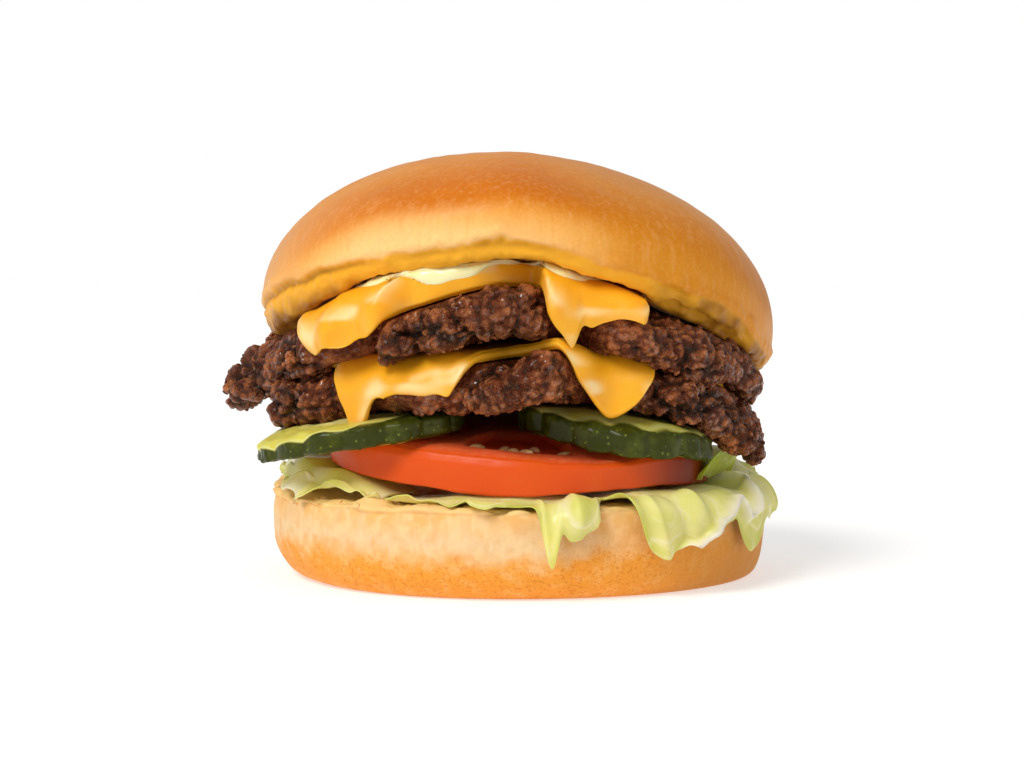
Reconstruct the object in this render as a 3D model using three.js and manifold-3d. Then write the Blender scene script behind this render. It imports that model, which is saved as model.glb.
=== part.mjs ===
// A double cheeseburger: two smashed beef patties, two melted cheese slices, tomato, pickles and lettuce
// in a soft round bun. Millimetres, +Z up, front towards -Y.
// The origin is on the flat base that the bottom bun stands on, under the bun's middle.
import * as THREE from "three";
import { mergeVertices } from "three/addons/utils/BufferGeometryUtils.js";
import Module from "manifold-3d";

const wasm = await Module();
wasm.setup();

// ---------- Driving dimensions ----------

const GAP = 0.4; // air left between two pieces that touch
const SMOOTHING = 0.18; // how far a face may move when small triangles are merged

const HEEL = { radius: 54.2, baseRadius: 46.5, cutRadius: 52.8, height: 18.5, cheekHeight: 11 };
const CROWN = { radius: 55.6, apex: 91.3, apexLean: -0.04, cheek: 8.2, lip: 3.2 };
const PATTY = { halfThick: 4.6 };
const CHEESE = { thick: 2.3 };
const TOMATO = { radius: 40.5, thick: 8.2, centre: [0, -11], pockets: 6, pocketDepth: 1.6 };
const TOMATO_DENT = [18, -46, 14, 2.4]; // pressed in by the right pickle, written as a swell
const PICKLE = { ribs: 15, ribHeight: 1 };
const LEAF = { thick: 0.9 };

// A layer is a patty and its cheese slice. It sags towards the bun's edge: millimetres lost on each side at
// SAG_REACH from the middle.
const SAG_REACH = 54;
const LAYER_SPOKES = 70;
const RIGHT_SAG_POWER = 2.6; // the right side stays level longer, then bends down faster
// Swells are round rises and dips: [x, y, radius, rise].
// Lobes change a radius: [direction in degrees, reach in mm, half-width in degrees] and, for a lobe with
// a blunt end, a power above 2. 180 is the left side, 270 the front, 0 the right side and 90 the back.
// A patty is plumper towards its rim where a lobe of `plump` says so. A slice is a square that melted: its
// lobes are the corners and runs that reach further, its bridges are the places where it spans a notch of the
// patty, and its puddles, written as swells, are where it has pooled thicker.
const UPPER_LAYER = {
  middle: 57.3,
  sag: { left: 11.3, right: 18.5, front: 3.5, back: 11 },
  swells: [[-1, -54, 14, 3.2], [-30, -50, 10, -1.5], [-60, -14, 12, -2.6], [37, -45, 12, -1.8]],
  plump: [[188, 1.3, 20]],
  radius: 50,
  outline: [
    [188, 12.6, 12], [211, 6, 10], [232, -5, 4], [243, 8, 5], [254, 7, 7], [267.5, 7, 8, 2.5],
    [283, -8, 4.5], [296, 5, 7], [312, 6, 11], [338, 6, 13], [20, -2, 14], [60, -3, 20], [110, -4, 16],
    [140, -2, 14],
  ],
  slice: {
    halfSide: 43, turn: 79, cornerRound: 7,
    lobes: [
      [203, -5, 7], [223, 7, 9, 3], [240, 9, 5], [254, 6.5, 17, 4], [281, 14, 4, 4], [287, 6, 3.5],
      [294, 5, 6.5, 4], [312, -16, 11, 3], [334, -13, 14, 3],
    ],
    bridges: [[282, 7, 5]],
    puddles: [[2, -54, 24, 2.6], [-27, -45, 15, 5]],
  },
};
const LOWER_LAYER = {
  middle: 44.6,
  sag: { left: 7.4, right: 14, front: 3, back: 11 },
  swells: [[9, -53, 9, 3.2], [53, -22, 9, -3.8]],
  plump: [[334, 1, 14]],
  radius: 49,
  outline: [
    [206, 7.5, 12], [228, -2, 6], [247, 3, 9], [268, 7, 7], [277, 6, 5], [291, -7, 5],
    [312, 6, 9], [334, 8, 12], [20, 3, 14], [75, 1, 15], [120, -2, 12], [160, 2, 14],
  ],
  slice: {
    halfSide: 43, turn: 6, cornerRound: 7,
    lobes: [
      [228, 6, 4.5], [247, 6, 9], [257, 4, 3.5], [273, 2, 7], [290, 13, 11, 3], [316, -8, 11],
      [340, -4, 11],
    ],
    bridges: [[291, 4, 6]],
    puddles: [],
  },
};

// Leaves: the directions they span, where they start, how far they reach and how they lift and frill. An
// outer leaf rolls over the bun's edge; a lying one stays on top of it and rises to its rim.
const LEAVES = [
  {
    name: "lettuce_left", from: 168, to: 238, columns: 18, inner: 38, length: 14.5, frill: 1, waves: 4.5,
    lobes: [[190, 0.5, 8], [216, 1, 7]], lift: [[182, 4.2, 11], [212, 3.6, 12]],
  },
  {
    name: "lettuce_front", from: 240, to: 288.5, columns: 21, inner: 39, length: 14, frill: 0.6, waves: 3.5,
    lobes: [[276, 11.5, 2.3, 4], [283, 7.5, 4.2, 6]], lift: [],
  },
  {
    name: "lettuce_right", from: 289, to: 356, columns: 20, inner: 39, length: 16, frill: 0.5, waves: 4,
    lobes: [[299.5, 11, 5], [308, 6, 5], [317, 3, 8], [330, 8, 4.6, 4], [342, 5, 7]],
    lift: [[318, 1.5, 8], [349, 3.2, 8]],
  },
  {
    name: "lettuce_inner", from: 330, to: 359, columns: 10, inner: 46, length: 5, frill: 0.6, waves: 2.5,
    lobes: [[342, 2, 7]], lift: [], lying: { above: 2.2, rise: 4.5 },
  },
  {
    name: "lettuce_back_right", from: 0, to: 80, columns: 16, inner: 38, length: 15.5, frill: 1.2,
    waves: 4.5, lobes: [[22, 8, 8, 4], [55, 5, 10]], lift: [[14, 5, 12], [36, 7.5, 16], [66, 6, 12]],
  },
  {
    name: "lettuce_back_left", from: 84, to: 163, columns: 16, inner: 38, length: 15.5, frill: 1.2,
    waves: 4.5, lobes: [[104, 9, 8, 4], [140, 5, 10]], lift: [[100, 6, 12], [122, 7, 14], [150, 5.5, 12]],
  },
];

// ---------- Small helpers ----------

const rad = THREE.MathUtils.degToRad;
const smooth = THREE.MathUtils.smoothstep;
const lerp = THREE.MathUtils.lerp;
const bell = (distance, width, power = 2) => Math.exp(-(Math.abs(distance / width) ** power));
const turnBetween = (a, b) => ((a - b + 540) % 360) - 180;

/** Sum of lobes at a direction in degrees. */
function lobesAt(lobes, degrees) {
  return lobes.reduce(
    (sum, [at, reach, width, power]) => sum + reach * bell(turnBetween(degrees, at), width, power), 0);
}

/** Sum of swells over a place on the plan. */
function swellsAt(swells, x, y) {
  return swells.reduce(
    (sum, [cx, cy, radius, rise]) => sum + rise * bell(Math.hypot(x - cx, y - cy), radius), 0);
}

/** The middle height of a sagging layer over a place on the plan. */
function layerHeight(layer, x, y) {
  const { left, right, front, back } = layer.sag;
  const across = x < 0 ? left * (x / SAG_REACH) ** 2 : right * (x / SAG_REACH) ** RIGHT_SAG_POWER;
  const along = (y < 0 ? front : back) * (y / SAG_REACH) ** 2;
  return layer.middle - across - along + swellsAt(layer.swells, x, y);
}

/** Repeatable smooth noise between -1 and 1, its features one unit apart. */
function noise(x, y, z) {
  const cell = (i, j, k) => {
    const s = Math.sin(i * 127.1 + j * 311.7 + k * 74.7) * 43758.5453;
    return (s - Math.floor(s)) * 2 - 1;
  };
  const [i, j, k] = [x, y, z].map(Math.floor);
  const [u, v, w] = [x - i, y - j, z - k].map((t) => t * t * (3 - 2 * t));
  const row = (b, c) => lerp(cell(i, j + b, k + c), cell(i + 1, j + b, k + c), u);
  return lerp(lerp(row(0, 0), row(1, 0), v), lerp(row(0, 1), row(1, 1), v), w);
}

// ---------- Closed surfaces ----------

function geometryFrom(points, index) {
  const geometry = new THREE.BufferGeometry();
  geometry.setAttribute("position", new THREE.Float32BufferAttribute(points.flat(), 3));
  geometry.setIndex(index);
  return geometry;
}

/**
 * A closed body of rings round a pole. place(degrees, station) gives a point; the stations run from the
 * pole on top, out to the rim and back to the pole underneath.
 */
function ringedBody(spokes, stations, place) {
  const last = stations.length - 1;
  const points = [place(0, stations[0])];
  for (let k = 1; k < last; k++)
    for (let i = 0; i < spokes; i++) points.push(place((i * 360) / spokes, stations[k]));
  points.push(place(0, stations[last]));
  const at = (k, i) => 1 + (k - 1) * spokes + (i % spokes);
  const index = [];
  for (let i = 0; i < spokes; i++) {
    index.push(0, at(1, i), at(1, i + 1));
    for (let k = 1; k < last - 1; k++) {
      index.push(at(k, i), at(k + 1, i), at(k + 1, i + 1));
      index.push(at(k, i), at(k + 1, i + 1), at(k, i + 1));
    }
    index.push(at(last - 1, i), points.length - 1, at(last - 1, i + 1));
  }
  return geometryFrom(points, index);
}

/** A thin closed sheet about a middle surface place(u, v), both faces split into triangles alike. */
function sheetBody(columns, rows, thick, place) {
  const middle = (i, j) => place(i / columns, j / rows);
  const side = (i, j, offset) => {
    const along = middle(Math.min(i + 1, columns), j).sub(middle(Math.max(i - 1, 0), j));
    const outward = middle(i, Math.min(j + 1, rows)).sub(middle(i, Math.max(j - 1, 0)));
    return middle(i, j).addScaledVector(outward.cross(along).normalize(), offset).toArray();
  };
  const points = [];
  for (const offset of [thick / 2, -thick / 2])
    for (let j = 0; j <= rows; j++) for (let i = 0; i <= columns; i++) points.push(side(i, j, offset));
  const top = (i, j) => j * (columns + 1) + i;
  const under = (i, j) => top(i, j) + (columns + 1) * (rows + 1);
  const index = [];
  for (let j = 0; j < rows; j++)
    for (let i = 0; i < columns; i++) {
      index.push(top(i, j), top(i, j + 1), top(i + 1, j + 1), top(i, j), top(i + 1, j + 1), top(i + 1, j));
      index.push(under(i, j), under(i + 1, j + 1), under(i, j + 1));
      index.push(under(i, j), under(i + 1, j), under(i + 1, j + 1));
    }
  const wall = (a, b, c, d) => index.push(a, b, d, a, d, c);
  for (let i = 0; i < columns; i++) {
    wall(top(i, 0), top(i + 1, 0), under(i, 0), under(i + 1, 0));
    wall(top(i + 1, rows), top(i, rows), under(i + 1, rows), under(i, rows));
  }
  for (let j = 0; j < rows; j++) {
    wall(top(0, j + 1), top(0, j), under(0, j + 1), under(0, j));
    wall(top(columns, j), top(columns, j + 1), under(columns, j), under(columns, j + 1));
  }
  return geometryFrom(points, index);
}

// ---------- Booleans ----------

function solidOf(geometry) {
  const merged = mergeVertices(geometry, 1e-4);
  return new wasm.Manifold(new wasm.Mesh({
    numProp: 3,
    vertProperties: merged.attributes.position.array,
    triVerts: new Uint32Array(merged.index.array),
  }));
}

function geometryOf(solid) {
  const mesh = solid.getMesh();
  const geometry = new THREE.BufferGeometry();
  geometry.setAttribute("position", new THREE.BufferAttribute(new Float32Array(mesh.vertProperties), 3));
  geometry.setIndex(new THREE.BufferAttribute(new Uint32Array(mesh.triVerts), 1));
  return geometry;
}

/** shape less its neighbours, each grown by the gap; crumbs that a cut leaves loose are dropped. */
function cutBack(shape, ...neighbours) {
  const cut = neighbours.reduce((solid, grown) => solid.subtract(solidOf(grown)), solidOf(shape));
  const [largest] = cut.simplify(SMOOTHING).decompose().sort((a, b) => b.volume() - a.volume());
  return geometryOf(largest);
}

// ---------- Layers of beef and melted cheese ----------

function pattyRadius(layer, degrees) {
  return layer.radius + lobesAt(layer.outline, degrees);
}

/** How far a melted square slice reaches from its middle, along its surface. */
function sliceReach({ halfSide, turn, cornerRound, lobes }, degrees) {
  const inSquare = rad(((degrees - turn + 45 + 360) % 90) - 45);
  const roundCorner = halfSide * Math.SQRT2 - cornerRound;
  return Math.min(halfSide / Math.cos(inSquare), roundCorner) + lobesAt(lobes, degrees);
}

/** Height of the top of a patty with its cheese, rounded off at its edge. */
function layerTop(layer, x, y) {
  const direction = (THREE.MathUtils.radToDeg(Math.atan2(y, x)) + 360) % 360;
  const edge = pattyRadius(layer, direction) - PATTY.halfThick;
  const covered = sliceReach(layer.slice, direction) > Math.min(Math.hypot(x, y), edge);
  const tall = PATTY.halfThick + (covered ? GAP + CHEESE.thick : 0);
  const past = (Math.hypot(x, y) - edge) / tall;
  if (past > 1) return 0;
  return layerHeight(layer, x, y) + tall * Math.sqrt(1 - Math.max(past, 0) ** 2);
}

// Stations over a round-edged slab: `flat` is the share of the way to where the rounding starts and
// `bend` the angle round the edge, from 90 on top to -90 underneath.
const PATTY_STATIONS = [
  ...[0, 0.5, 0.85, 1].map((flat) => ({ flat, bend: 90 })),
  ...[52, 16, -22, -56].map((bend) => ({ flat: 1, bend })),
  ...[1, 0.9, 0.75, 0].map((flat) => ({ flat, bend: -90 })),
];

/** A smashed patty: a sagging slab with a lobed edge of craggy ground beef, pressed on what it lies on. */
function patty(layer, restAt, grow = 0) {
  const { halfThick } = PATTY;
  return ringedBody(LAYER_SPOKES, PATTY_STATIONS, (degrees, { flat, bend }) => {
    const [ux, uy] = [Math.cos(rad(degrees)), Math.sin(rad(degrees))];
    const edge = pattyRadius(layer, degrees) - halfThick;
    const bare = smooth(flat * edge + halfThick * rad(90 - bend) - sliceReach(layer.slice, degrees), 1, 4);
    const [sin, cos] = [Math.sin(rad(bend)), Math.cos(rad(bend))];
    const even = flat * edge + halfThick * cos;
    const [bx, by, bz] = [even * ux, even * uy, halfThick * sin];
    const coarse = noise(bx / 8, by / 8, bz / 8 + layer.middle);
    const fine = noise(bx / 3.1, by / 3.1, bz / 3.1);
    const crag = (1.6 * coarse + 4.2 * fine) * bare * (0.55 + 0.45 * cos);
    const stand = (crag + lobesAt(layer.plump, degrees)) * smooth(flat, 0.8, 1) + grow;
    const out = even + stand * cos;
    const [x, y] = [out * ux, out * uy];
    const height = layerHeight(layer, x, y) + (halfThick + stand) * sin;
    return [x, y, bend < 0 ? Math.max(height, restAt(x, y)) : height];
  });
}

/**
 * The place `length` along a soft sheet that lies flat to `edge`, rolls over it with radius `bend` and then
 * hangs: its distance out, its height over the edge's middle and how far it has turned over.
 */
function rollOver(edge, bend, length) {
  const turned = Math.min(Math.max((length - edge) / bend, 0), Math.PI / 2);
  const hanging = Math.max(length - edge - (bend * Math.PI) / 2, 0);
  return {
    out: Math.min(length, edge) + bend * Math.sin(turned),
    up: bend * Math.cos(turned) - hanging,
    turned,
  };
}

// A cheese slice's stations: `flat` is the share of its lying part and `rolled` of what goes over the edge;
// `side` runs from its upper face at 1 to its underside at -1.
const SHEET_STATIONS = [
  ...[0, 0.5, 0.78, 1].map((flat) => ({ flat, rolled: 0, side: 1 })),
  ...[0.25, 0.5, 0.75, 0.95].map((rolled) => ({ flat: 1, rolled, side: 1 })),
  { flat: 1, rolled: 1, side: 0.5 },
  { flat: 1, rolled: 1, side: -0.5 },
  ...[0.9, 0.56, 0.24].map((rolled) => ({ flat: 1, rolled, side: -1 })),
  ...[1, 0.78, 0.5, 0].map((flat) => ({ flat, rolled: 0, side: -1 })),
];

/** A cheese slice melted over a patty. */
function cheese(layer, grow = 0) {
  const half = CHEESE.thick / 2 + grow;
  const lift = GAP + CHEESE.thick / 2;
  return ringedBody(LAYER_SPOKES, SHEET_STATIONS, (degrees, { flat, rolled, side }) => {
    const edge = pattyRadius(layer, degrees) + lobesAt(layer.slice.bridges, degrees) - PATTY.halfThick;
    const reach = sliceReach(layer.slice, degrees) + grow;
    const lying = Math.min(edge, reach - 1.5);
    const length = flat * lying + rolled * (reach - lying);
    const { out, up, turned } = rollOver(edge, PATTY.halfThick + lift, length);
    const faceOut = out + side * half * Math.sin(turned);
    const [x, y] = [faceOut * Math.cos(rad(degrees)), faceOut * Math.sin(rad(degrees))];
    const pooled = Math.max(side, 0) * swellsAt(layer.slice.puddles, x, y);
    return [x, y, layerHeight(layer, x, y) + up + side * half * Math.cos(turned) + pooled];
  });
}

// ---------- Bun ----------

// Stations up the bottom bun's side, from its cheek: below it towards the base, above it to the cut face.
const HEEL_STATIONS = [
  { level: 1, share: 0 }, { level: 1, share: 0.55 }, { level: 1, share: 0.9 }, { level: 1, share: 0.975 },
  ...[0.8, 0.45, 0, -0.4, -0.75, -0.95].map((level) => ({ level, share: 1 })),
  { level: -1, share: 1 }, { level: -1, share: 0.5 }, { level: -1, share: 0 },
];

/** How far from round the bottom bun is. */
function heelWobble(degrees) {
  return 0.5 * Math.sin(rad(3 * degrees + 40)) + 0.3 * Math.sin(rad(5 * degrees));
}

/** The bottom bun: a flat base, a full cheek and a flat cut face. */
function heel() {
  const { radius, baseRadius, cutRadius, height, cheekHeight } = HEEL;
  return ringedBody(38, HEEL_STATIONS, (degrees, { level, share }) => {
    const foot = baseRadius + 4 * bell(turnBetween(degrees, -12), 40);
    const narrowing = 1 - Math.sqrt(1 - level * level);
    const out = radius + heelWobble(degrees) - narrowing * (radius - (level < 0 ? foot : cutRadius));
    const up = cheekHeight + (level < 0 ? level * cheekHeight : level * (height - cheekHeight));
    return [share * out * Math.cos(rad(degrees)), share * out * Math.sin(rad(degrees)), up];
  });
}

// How far the top bun's lip droops past the filling, or lifts off it, as lobes.
const LIP_DROOP = [[0, 3.5, 30], [180, 1.6, 30], [314, -2, 14]];

/** Height of the top bun's cut face, which lies on the upper cheese and droops past the filling. */
function crownCut(x, y) {
  const onCheese = layerHeight(UPPER_LAYER, x, y) + PATTY.halfThick + CHEESE.thick + 3 * GAP;
  const direction = (THREE.MathUtils.radToDeg(Math.atan2(y, x)) + 360) % 360;
  const droop = lobesAt(LIP_DROOP, direction) * smooth(Math.hypot(x, y), 44, 54);
  return onCheese + swellsAt(UPPER_LAYER.slice.puddles, x, y) - droop;
}

const CROWN_STATIONS = [
  ...[0, 0.25, 0.46, 0.64, 0.79, 0.9, 0.97].map((share) => ({ face: "dome", share })),
  ...[0, 30, 60, 90].map((turn) => ({ face: "cheek", turn })),
  ...[0.92, 0.8, 0.62, 0.4, 0].map((share) => ({ face: "cut", share })),
];

/** The top bun: a soft glazed dome over a cut face that bends over the filling. */
function crown() {
  const { radius, apex, apexLean, cheek, lip } = CROWN;
  return ringedBody(46, CROWN_STATIONS, (degrees, { face, share, turn }) => {
    const [ux, uy] = [Math.cos(rad(degrees)), Math.sin(rad(degrees))];
    const rim = radius + 0.4 * Math.sin(rad(2 * degrees + 70)) + 0.5 * Math.sin(rad(3 * degrees));
    const lipOut = rim - lip;
    const lipHeight = crownCut(lipOut * ux, lipOut * uy);
    if (face === "cheek") {
      const out = lipOut + lip * Math.cos(rad(turn));
      return [out * ux, out * uy, lipHeight + cheek * (1 - Math.sin(rad(turn)))];
    }
    const out = share * (face === "cut" ? lipOut : rim);
    const [x, y] = [out * ux, out * uy];
    if (face === "cut") return [x, y, crownCut(x, y)];
    return [x, y, lerp(lipHeight + cheek, apex + apexLean * x, Math.sqrt(1 - share ** 2))];
  });
}

// ---------- Tomato and pickles ----------

/** Height of the tomato's underside: it leans back on the lettuce and droops to the front and the right. */
function tomatoRest(x, y) {
  const droop = 1.1 * Math.max(0, (-30 - y) / 21) ** 2 + 4.6 * Math.max(0, (x - 10) / 30) ** 2;
  return HEEL.height + 6.6 + 0.08 * (y - TOMATO.centre[1]) + 1.2 * (x / 40) ** 2 - droop;
}

const TOMATO_STATIONS = [
  ...[0, 0.3, 0.44, 0.62, 0.76, 0.87, 0.965].map((share) => ({ share, side: 1 })),
  { share: 1, side: 0.5 },
  { share: 1, side: -0.5 },
  ...[0.965, 0.5, 0].map((share) => ({ share, side: -1 })),
];

/** A beefsteak tomato slice with its seed pockets sunk in the upper face. */
function tomato(grow = 0) {
  const { radius, thick, centre, pockets, pocketDepth } = TOMATO;
  return ringedBody(42, TOMATO_STATIONS, (degrees, { share, side }) => {
    const full = radius + 0.7 * Math.cos(rad(5 * degrees + 30)) + grow;
    const x = centre[0] + share * full * Math.cos(rad(degrees));
    const y = centre[1] + share * full * Math.sin(rad(degrees));
    const wall = Math.abs(Math.sin(rad((pockets * (degrees - 60)) / 2)));
    const inPocket = side === 1 ? smooth(wall, 0.3, 0.6) * bell(share - 0.58, 0.24) : 0;
    const dent = Math.max(side, 0) * swellsAt([TOMATO_DENT], x, y);
    const sunk = pocketDepth * smooth(inPocket, 0.2, 0.8) + dent;
    return [x, y, tomatoRest(x, y) + thick / 2 + side * (thick / 2 + grow) - sunk];
  });
}

const PICKLE_STATIONS = [
  ...[0, 0.55, 0.88, 0.97].map((share) => ({ share, side: 1 })),
  { share: 1, side: 0.6 },
  { share: 1, side: -0.6 },
  ...[0.97, 0.6, 0].map((share) => ({ share, side: -1 })),
];

// Each pickle is a slant-cut slice: its thickness, middle, half-lengths, the plan turn of its long axis,
// its slope along x and y, and how its rim droops.
const PICKLES = [
  {
    name: "pickle_left", thick: 4.8, middle: [-32.7, -28, 35.8], half: [22, 17], turn: -30,
    slope: [0.34, 0.1], droop: 0.0025,
  },
  {
    name: "pickle_right", thick: 6, middle: [20.5, -28.5, 37.4], half: [19, 17.5], turn: 0,
    slope: [-0.17, 0.24], droop: 0.006,
  },
];

/** A pickle slice with a ribbed skin, pressed down where the patty lies on it. */
function pickle({ thick, middle, half, turn, slope, droop }, grow = 0) {
  return ringedBody(45, PICKLE_STATIONS, (degrees, { share, side }) => {
    const scallop = Math.abs(Math.sin(rad((PICKLE.ribs * degrees) / 2)));
    const rib = PICKLE.ribHeight * scallop * smooth(share, 0.85, 1);
    const along = share * (half[0] + rib + grow) * Math.cos(rad(degrees));
    const aside = share * (half[1] + rib + grow) * Math.sin(rad(degrees));
    const dx = along * Math.cos(rad(turn)) - aside * Math.sin(rad(turn));
    const dy = along * Math.sin(rad(turn)) + aside * Math.cos(rad(turn));
    const [x, y] = [middle[0] + dx, middle[1] + dy];
    const leaning = middle[2] + slope[0] * dx + slope[1] * dy - droop * (along ** 2 + aside ** 2);
    const pressed = layerHeight(LOWER_LAYER, x, y) - PATTY.halfThick - thick / 2 - 2 * GAP;
    return [x, y, Math.min(leaning, pressed) + side * (thick / 2 + grow)];
  });
}

// ---------- Lettuce ----------

/** A leaf on the cut face of the bottom bun with a frilled rim. */
function leaf({ from, to, columns, inner, length, lobes, lift, frill, waves, lying }) {
  const rollRadius = 2.6;
  return sheetBody(columns, 5, LEAF.thick, (u, v) => {
    const degrees = lerp(from, to, u);
    const edge = HEEL.cutRadius - 1 + heelWobble(degrees);
    const tapered = Math.sin(Math.PI * lerp(0.05, 0.95, u)) ** 0.3;
    const reach = inner + length * tapered + lobesAt(lobes, degrees);
    const rim = lying ? reach : Math.max(reach, edge + 0.5);
    const knee = lying ? lerp(inner, rim, 0.2) : edge - 1;
    const along = v < 0.2 ? lerp(inner, knee, v / 0.2) : lerp(knee, rim, (v - 0.2) / 0.8);
    const { out, up, turned } = rollOver(edge, rollRadius, along);
    const ripple = frill * smooth(along, 43, 56) * (0.5 + 0.5 * Math.sin(2 * Math.PI * waves * u + 4 * v));
    const raised = lobesAt(lift, degrees) * bell(along - 47, 5) * Math.cos(turned);
    const stacked = lying ? lying.above + lying.rise * v ** 1.5 * Math.sin(Math.PI * u) : 0;
    const off = ripple + LEAF.thick / 2 + 1.6 * GAP + 0.8 * turned;
    const far = out + off * Math.sin(turned) + 0.35 * ripple;
    const height = HEEL.height - rollRadius + up + off * Math.cos(turned) + raised + stacked;
    return new THREE.Vector3(far * Math.cos(rad(degrees)), far * Math.sin(rad(degrees)), height);
  });
}

// ---------- Materials ----------

const finish = (color, roughness) => new THREE.MeshStandardMaterial({ color, roughness, metalness: 0 });
const MATERIALS = {
  crust: finish("#d98a35", 0.35),
  heelCrust: finish("#e3ab62", 0.6),
  beef: finish("#4c2a1b", 0.55),
  cheese: finish("#f7ac27", 0.3),
  tomato: finish("#d8431f", 0.25),
  pickle: finish("#4d6425", 0.3),
  lettuce: finish("#cfdc83", 0.4),
};

// ---------- Assembly ----------

const burger = new THREE.Group();

function addPiece(name, geometry, material) {
  const mesh = new THREE.Mesh(geometry, material);
  mesh.name = name;
  burger.add(mesh);
}

const onLowerLayer = (x, y) => layerTop(LOWER_LAYER, x, y) + 4 * GAP;
const onNothing = () => 0;
const grownPickles = PICKLES.map((slice) => pickle(slice, GAP));
const lowerPatty = (grow) => patty(LOWER_LAYER, onNothing, grow);
const upperPatty = (grow) => patty(UPPER_LAYER, onLowerLayer, grow);
const TOUCH = GAP / 2; // growth for neighbours that already lie clear of each other but for a crag or two

addPiece("bun_bottom", cutBack(heel()), MATERIALS.heelCrust);
for (const shape of LEAVES) addPiece(shape.name, leaf(shape), MATERIALS.lettuce);
addPiece("tomato", cutBack(tomato()), MATERIALS.tomato);
for (const slice of PICKLES) addPiece(slice.name, cutBack(pickle(slice), tomato(GAP)), MATERIALS.pickle);
addPiece(
  "patty_lower",
  cutBack(lowerPatty(0), cheese(LOWER_LAYER, TOUCH), tomato(GAP), ...grownPickles),
  MATERIALS.beef,
);
addPiece("cheese_lower", cutBack(cheese(LOWER_LAYER), ...grownPickles), MATERIALS.cheese);
addPiece(
  "patty_upper",
  cutBack(upperPatty(0), cheese(UPPER_LAYER, TOUCH), cheese(LOWER_LAYER, TOUCH), lowerPatty(TOUCH)),
  MATERIALS.beef,
);
addPiece("cheese_upper", cutBack(cheese(UPPER_LAYER), cheese(LOWER_LAYER, TOUCH)), MATERIALS.cheese);
addPiece("bun_top", cutBack(crown(), cheese(UPPER_LAYER, TOUCH), upperPatty(TOUCH)), MATERIALS.crust);

export default burger;
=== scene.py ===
# %% [markdown]
# # A double cheeseburger
# Two smashed beef patties, each under a melted cheese slice, lie on pickles, tomato and lettuce in a
# soft glazed bun. The frame gives each piece's place as a plain solid. Every solid is replaced by a
# fine mesh that follows nearly the same rule of shape, because food is all surface: crust, crags, melt,
# skin and frill.

# %% Load the frame
import math

import bmesh
import bpy
import numpy as np
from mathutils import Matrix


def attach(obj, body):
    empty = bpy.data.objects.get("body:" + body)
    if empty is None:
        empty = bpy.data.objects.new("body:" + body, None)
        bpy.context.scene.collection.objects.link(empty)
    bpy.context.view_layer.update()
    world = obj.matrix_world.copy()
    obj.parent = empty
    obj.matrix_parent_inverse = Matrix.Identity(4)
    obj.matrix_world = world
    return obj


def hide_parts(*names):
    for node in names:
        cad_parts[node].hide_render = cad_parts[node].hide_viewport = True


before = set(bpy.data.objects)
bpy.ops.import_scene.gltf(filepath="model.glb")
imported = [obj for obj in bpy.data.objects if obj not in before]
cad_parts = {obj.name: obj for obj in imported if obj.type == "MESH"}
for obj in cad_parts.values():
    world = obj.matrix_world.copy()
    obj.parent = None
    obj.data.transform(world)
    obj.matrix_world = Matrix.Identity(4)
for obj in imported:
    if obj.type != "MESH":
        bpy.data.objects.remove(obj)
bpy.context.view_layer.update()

# %% [markdown]
# ## Sizes
# All sizes are millimetres until a mesh is made. They repeat the driving dimensions of the solids, so
# that the fine surfaces lie near them. The runs of the cheese and some of the leaves are drawn a few
# millimetres off their solids.

# %% The burger's sizes
MM = 0.001
GAP = 0.4
HEEL = {"radius": 54.2, "base_radius": 46.5, "cut_radius": 52.8, "height": 18.5, "cheek_height": 11}
CROWN = {"radius": 55.6, "apex": 91.3, "apex_lean": -0.04, "cheek": 8.2, "lip": 3.2}
PATTY_HALF = 4.6
CHEESE_THICK = 2.3
TOMATO = {"radius": 40.5, "thick": 8.2, "centre": (0, -11), "pockets": 6, "pocket_depth": 1.6}
TOMATO_DENT = (18, -46, 14, 2.4)
PICKLE = {"ribs": 15, "rib_height": 1}
LEAF_THICK = 0.55
SAG_REACH = 54
RIGHT_SAG_POWER = 2.6
print("bottom bun, mm across:", 2 * HEEL["radius"])

# %% [markdown]
# A layer is a patty with its cheese slice. Lobes are (direction in degrees, reach, half-width) and, for
# a blunt one, a power; 180 is the left, 270 the front. "outline" shapes the patty, "slice_lobes" the
# runs of the cheese, "plump" thickens the patty's edge, and "bridges" are notches that the slice spans.
# "slack" is how far out the slice's edge keeps from the patty's mean edge. Swells are (x, y, radius,
# rise) of the whole layer, and puddles are the same for melted cheese that lies thicker.

# %% The two layers
UPPER_LAYER = {
    "middle": 57.3,
    "sag": {"left": 11.3, "right": 18.5, "front": 3.5, "back": 11},
    "swells": [(-1, -54, 14, 3.2), (-30, -50, 10, -1.5), (-60, -14, 12, -2.6), (37, -45, 12, -1.8)],
    "plump": [(188, 1.3, 20)],
    "radius": 50,
    "outline": [
        (188, 12.6, 12), (211, 6, 10), (232, -5, 4), (243, 8, 5), (254, 7, 7), (267.5, 7, 8, 2.5),
        (283, -8, 4.5), (296, 5, 7), (312, 6, 11), (338, 4.4, 13), (20, -2, 14), (60, -3, 20),
        (110, -4, 16), (140, -2, 14),
    ],
    "half_side": 43, "turn": 79, "corner_round": 7,
    "slice_lobes": [
        (204, -6, 7), (223, 4, 9, 3), (231, 8.5, 7.5), (240, 6.5, 5), (254, 8.5, 17, 4), (279, 14, 4, 4),
        (285.5, 7, 4), (294, 5, 6, 4), (312, -16, 11, 3), (334, -13, 14, 3),
    ],
    "bridges": [(231, 9, 7), (282, 7, 5)],
    "puddles": [(2, -54, 24, 2.6), (-27, -45, 15, 5)], "slack": 1,
}
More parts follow.
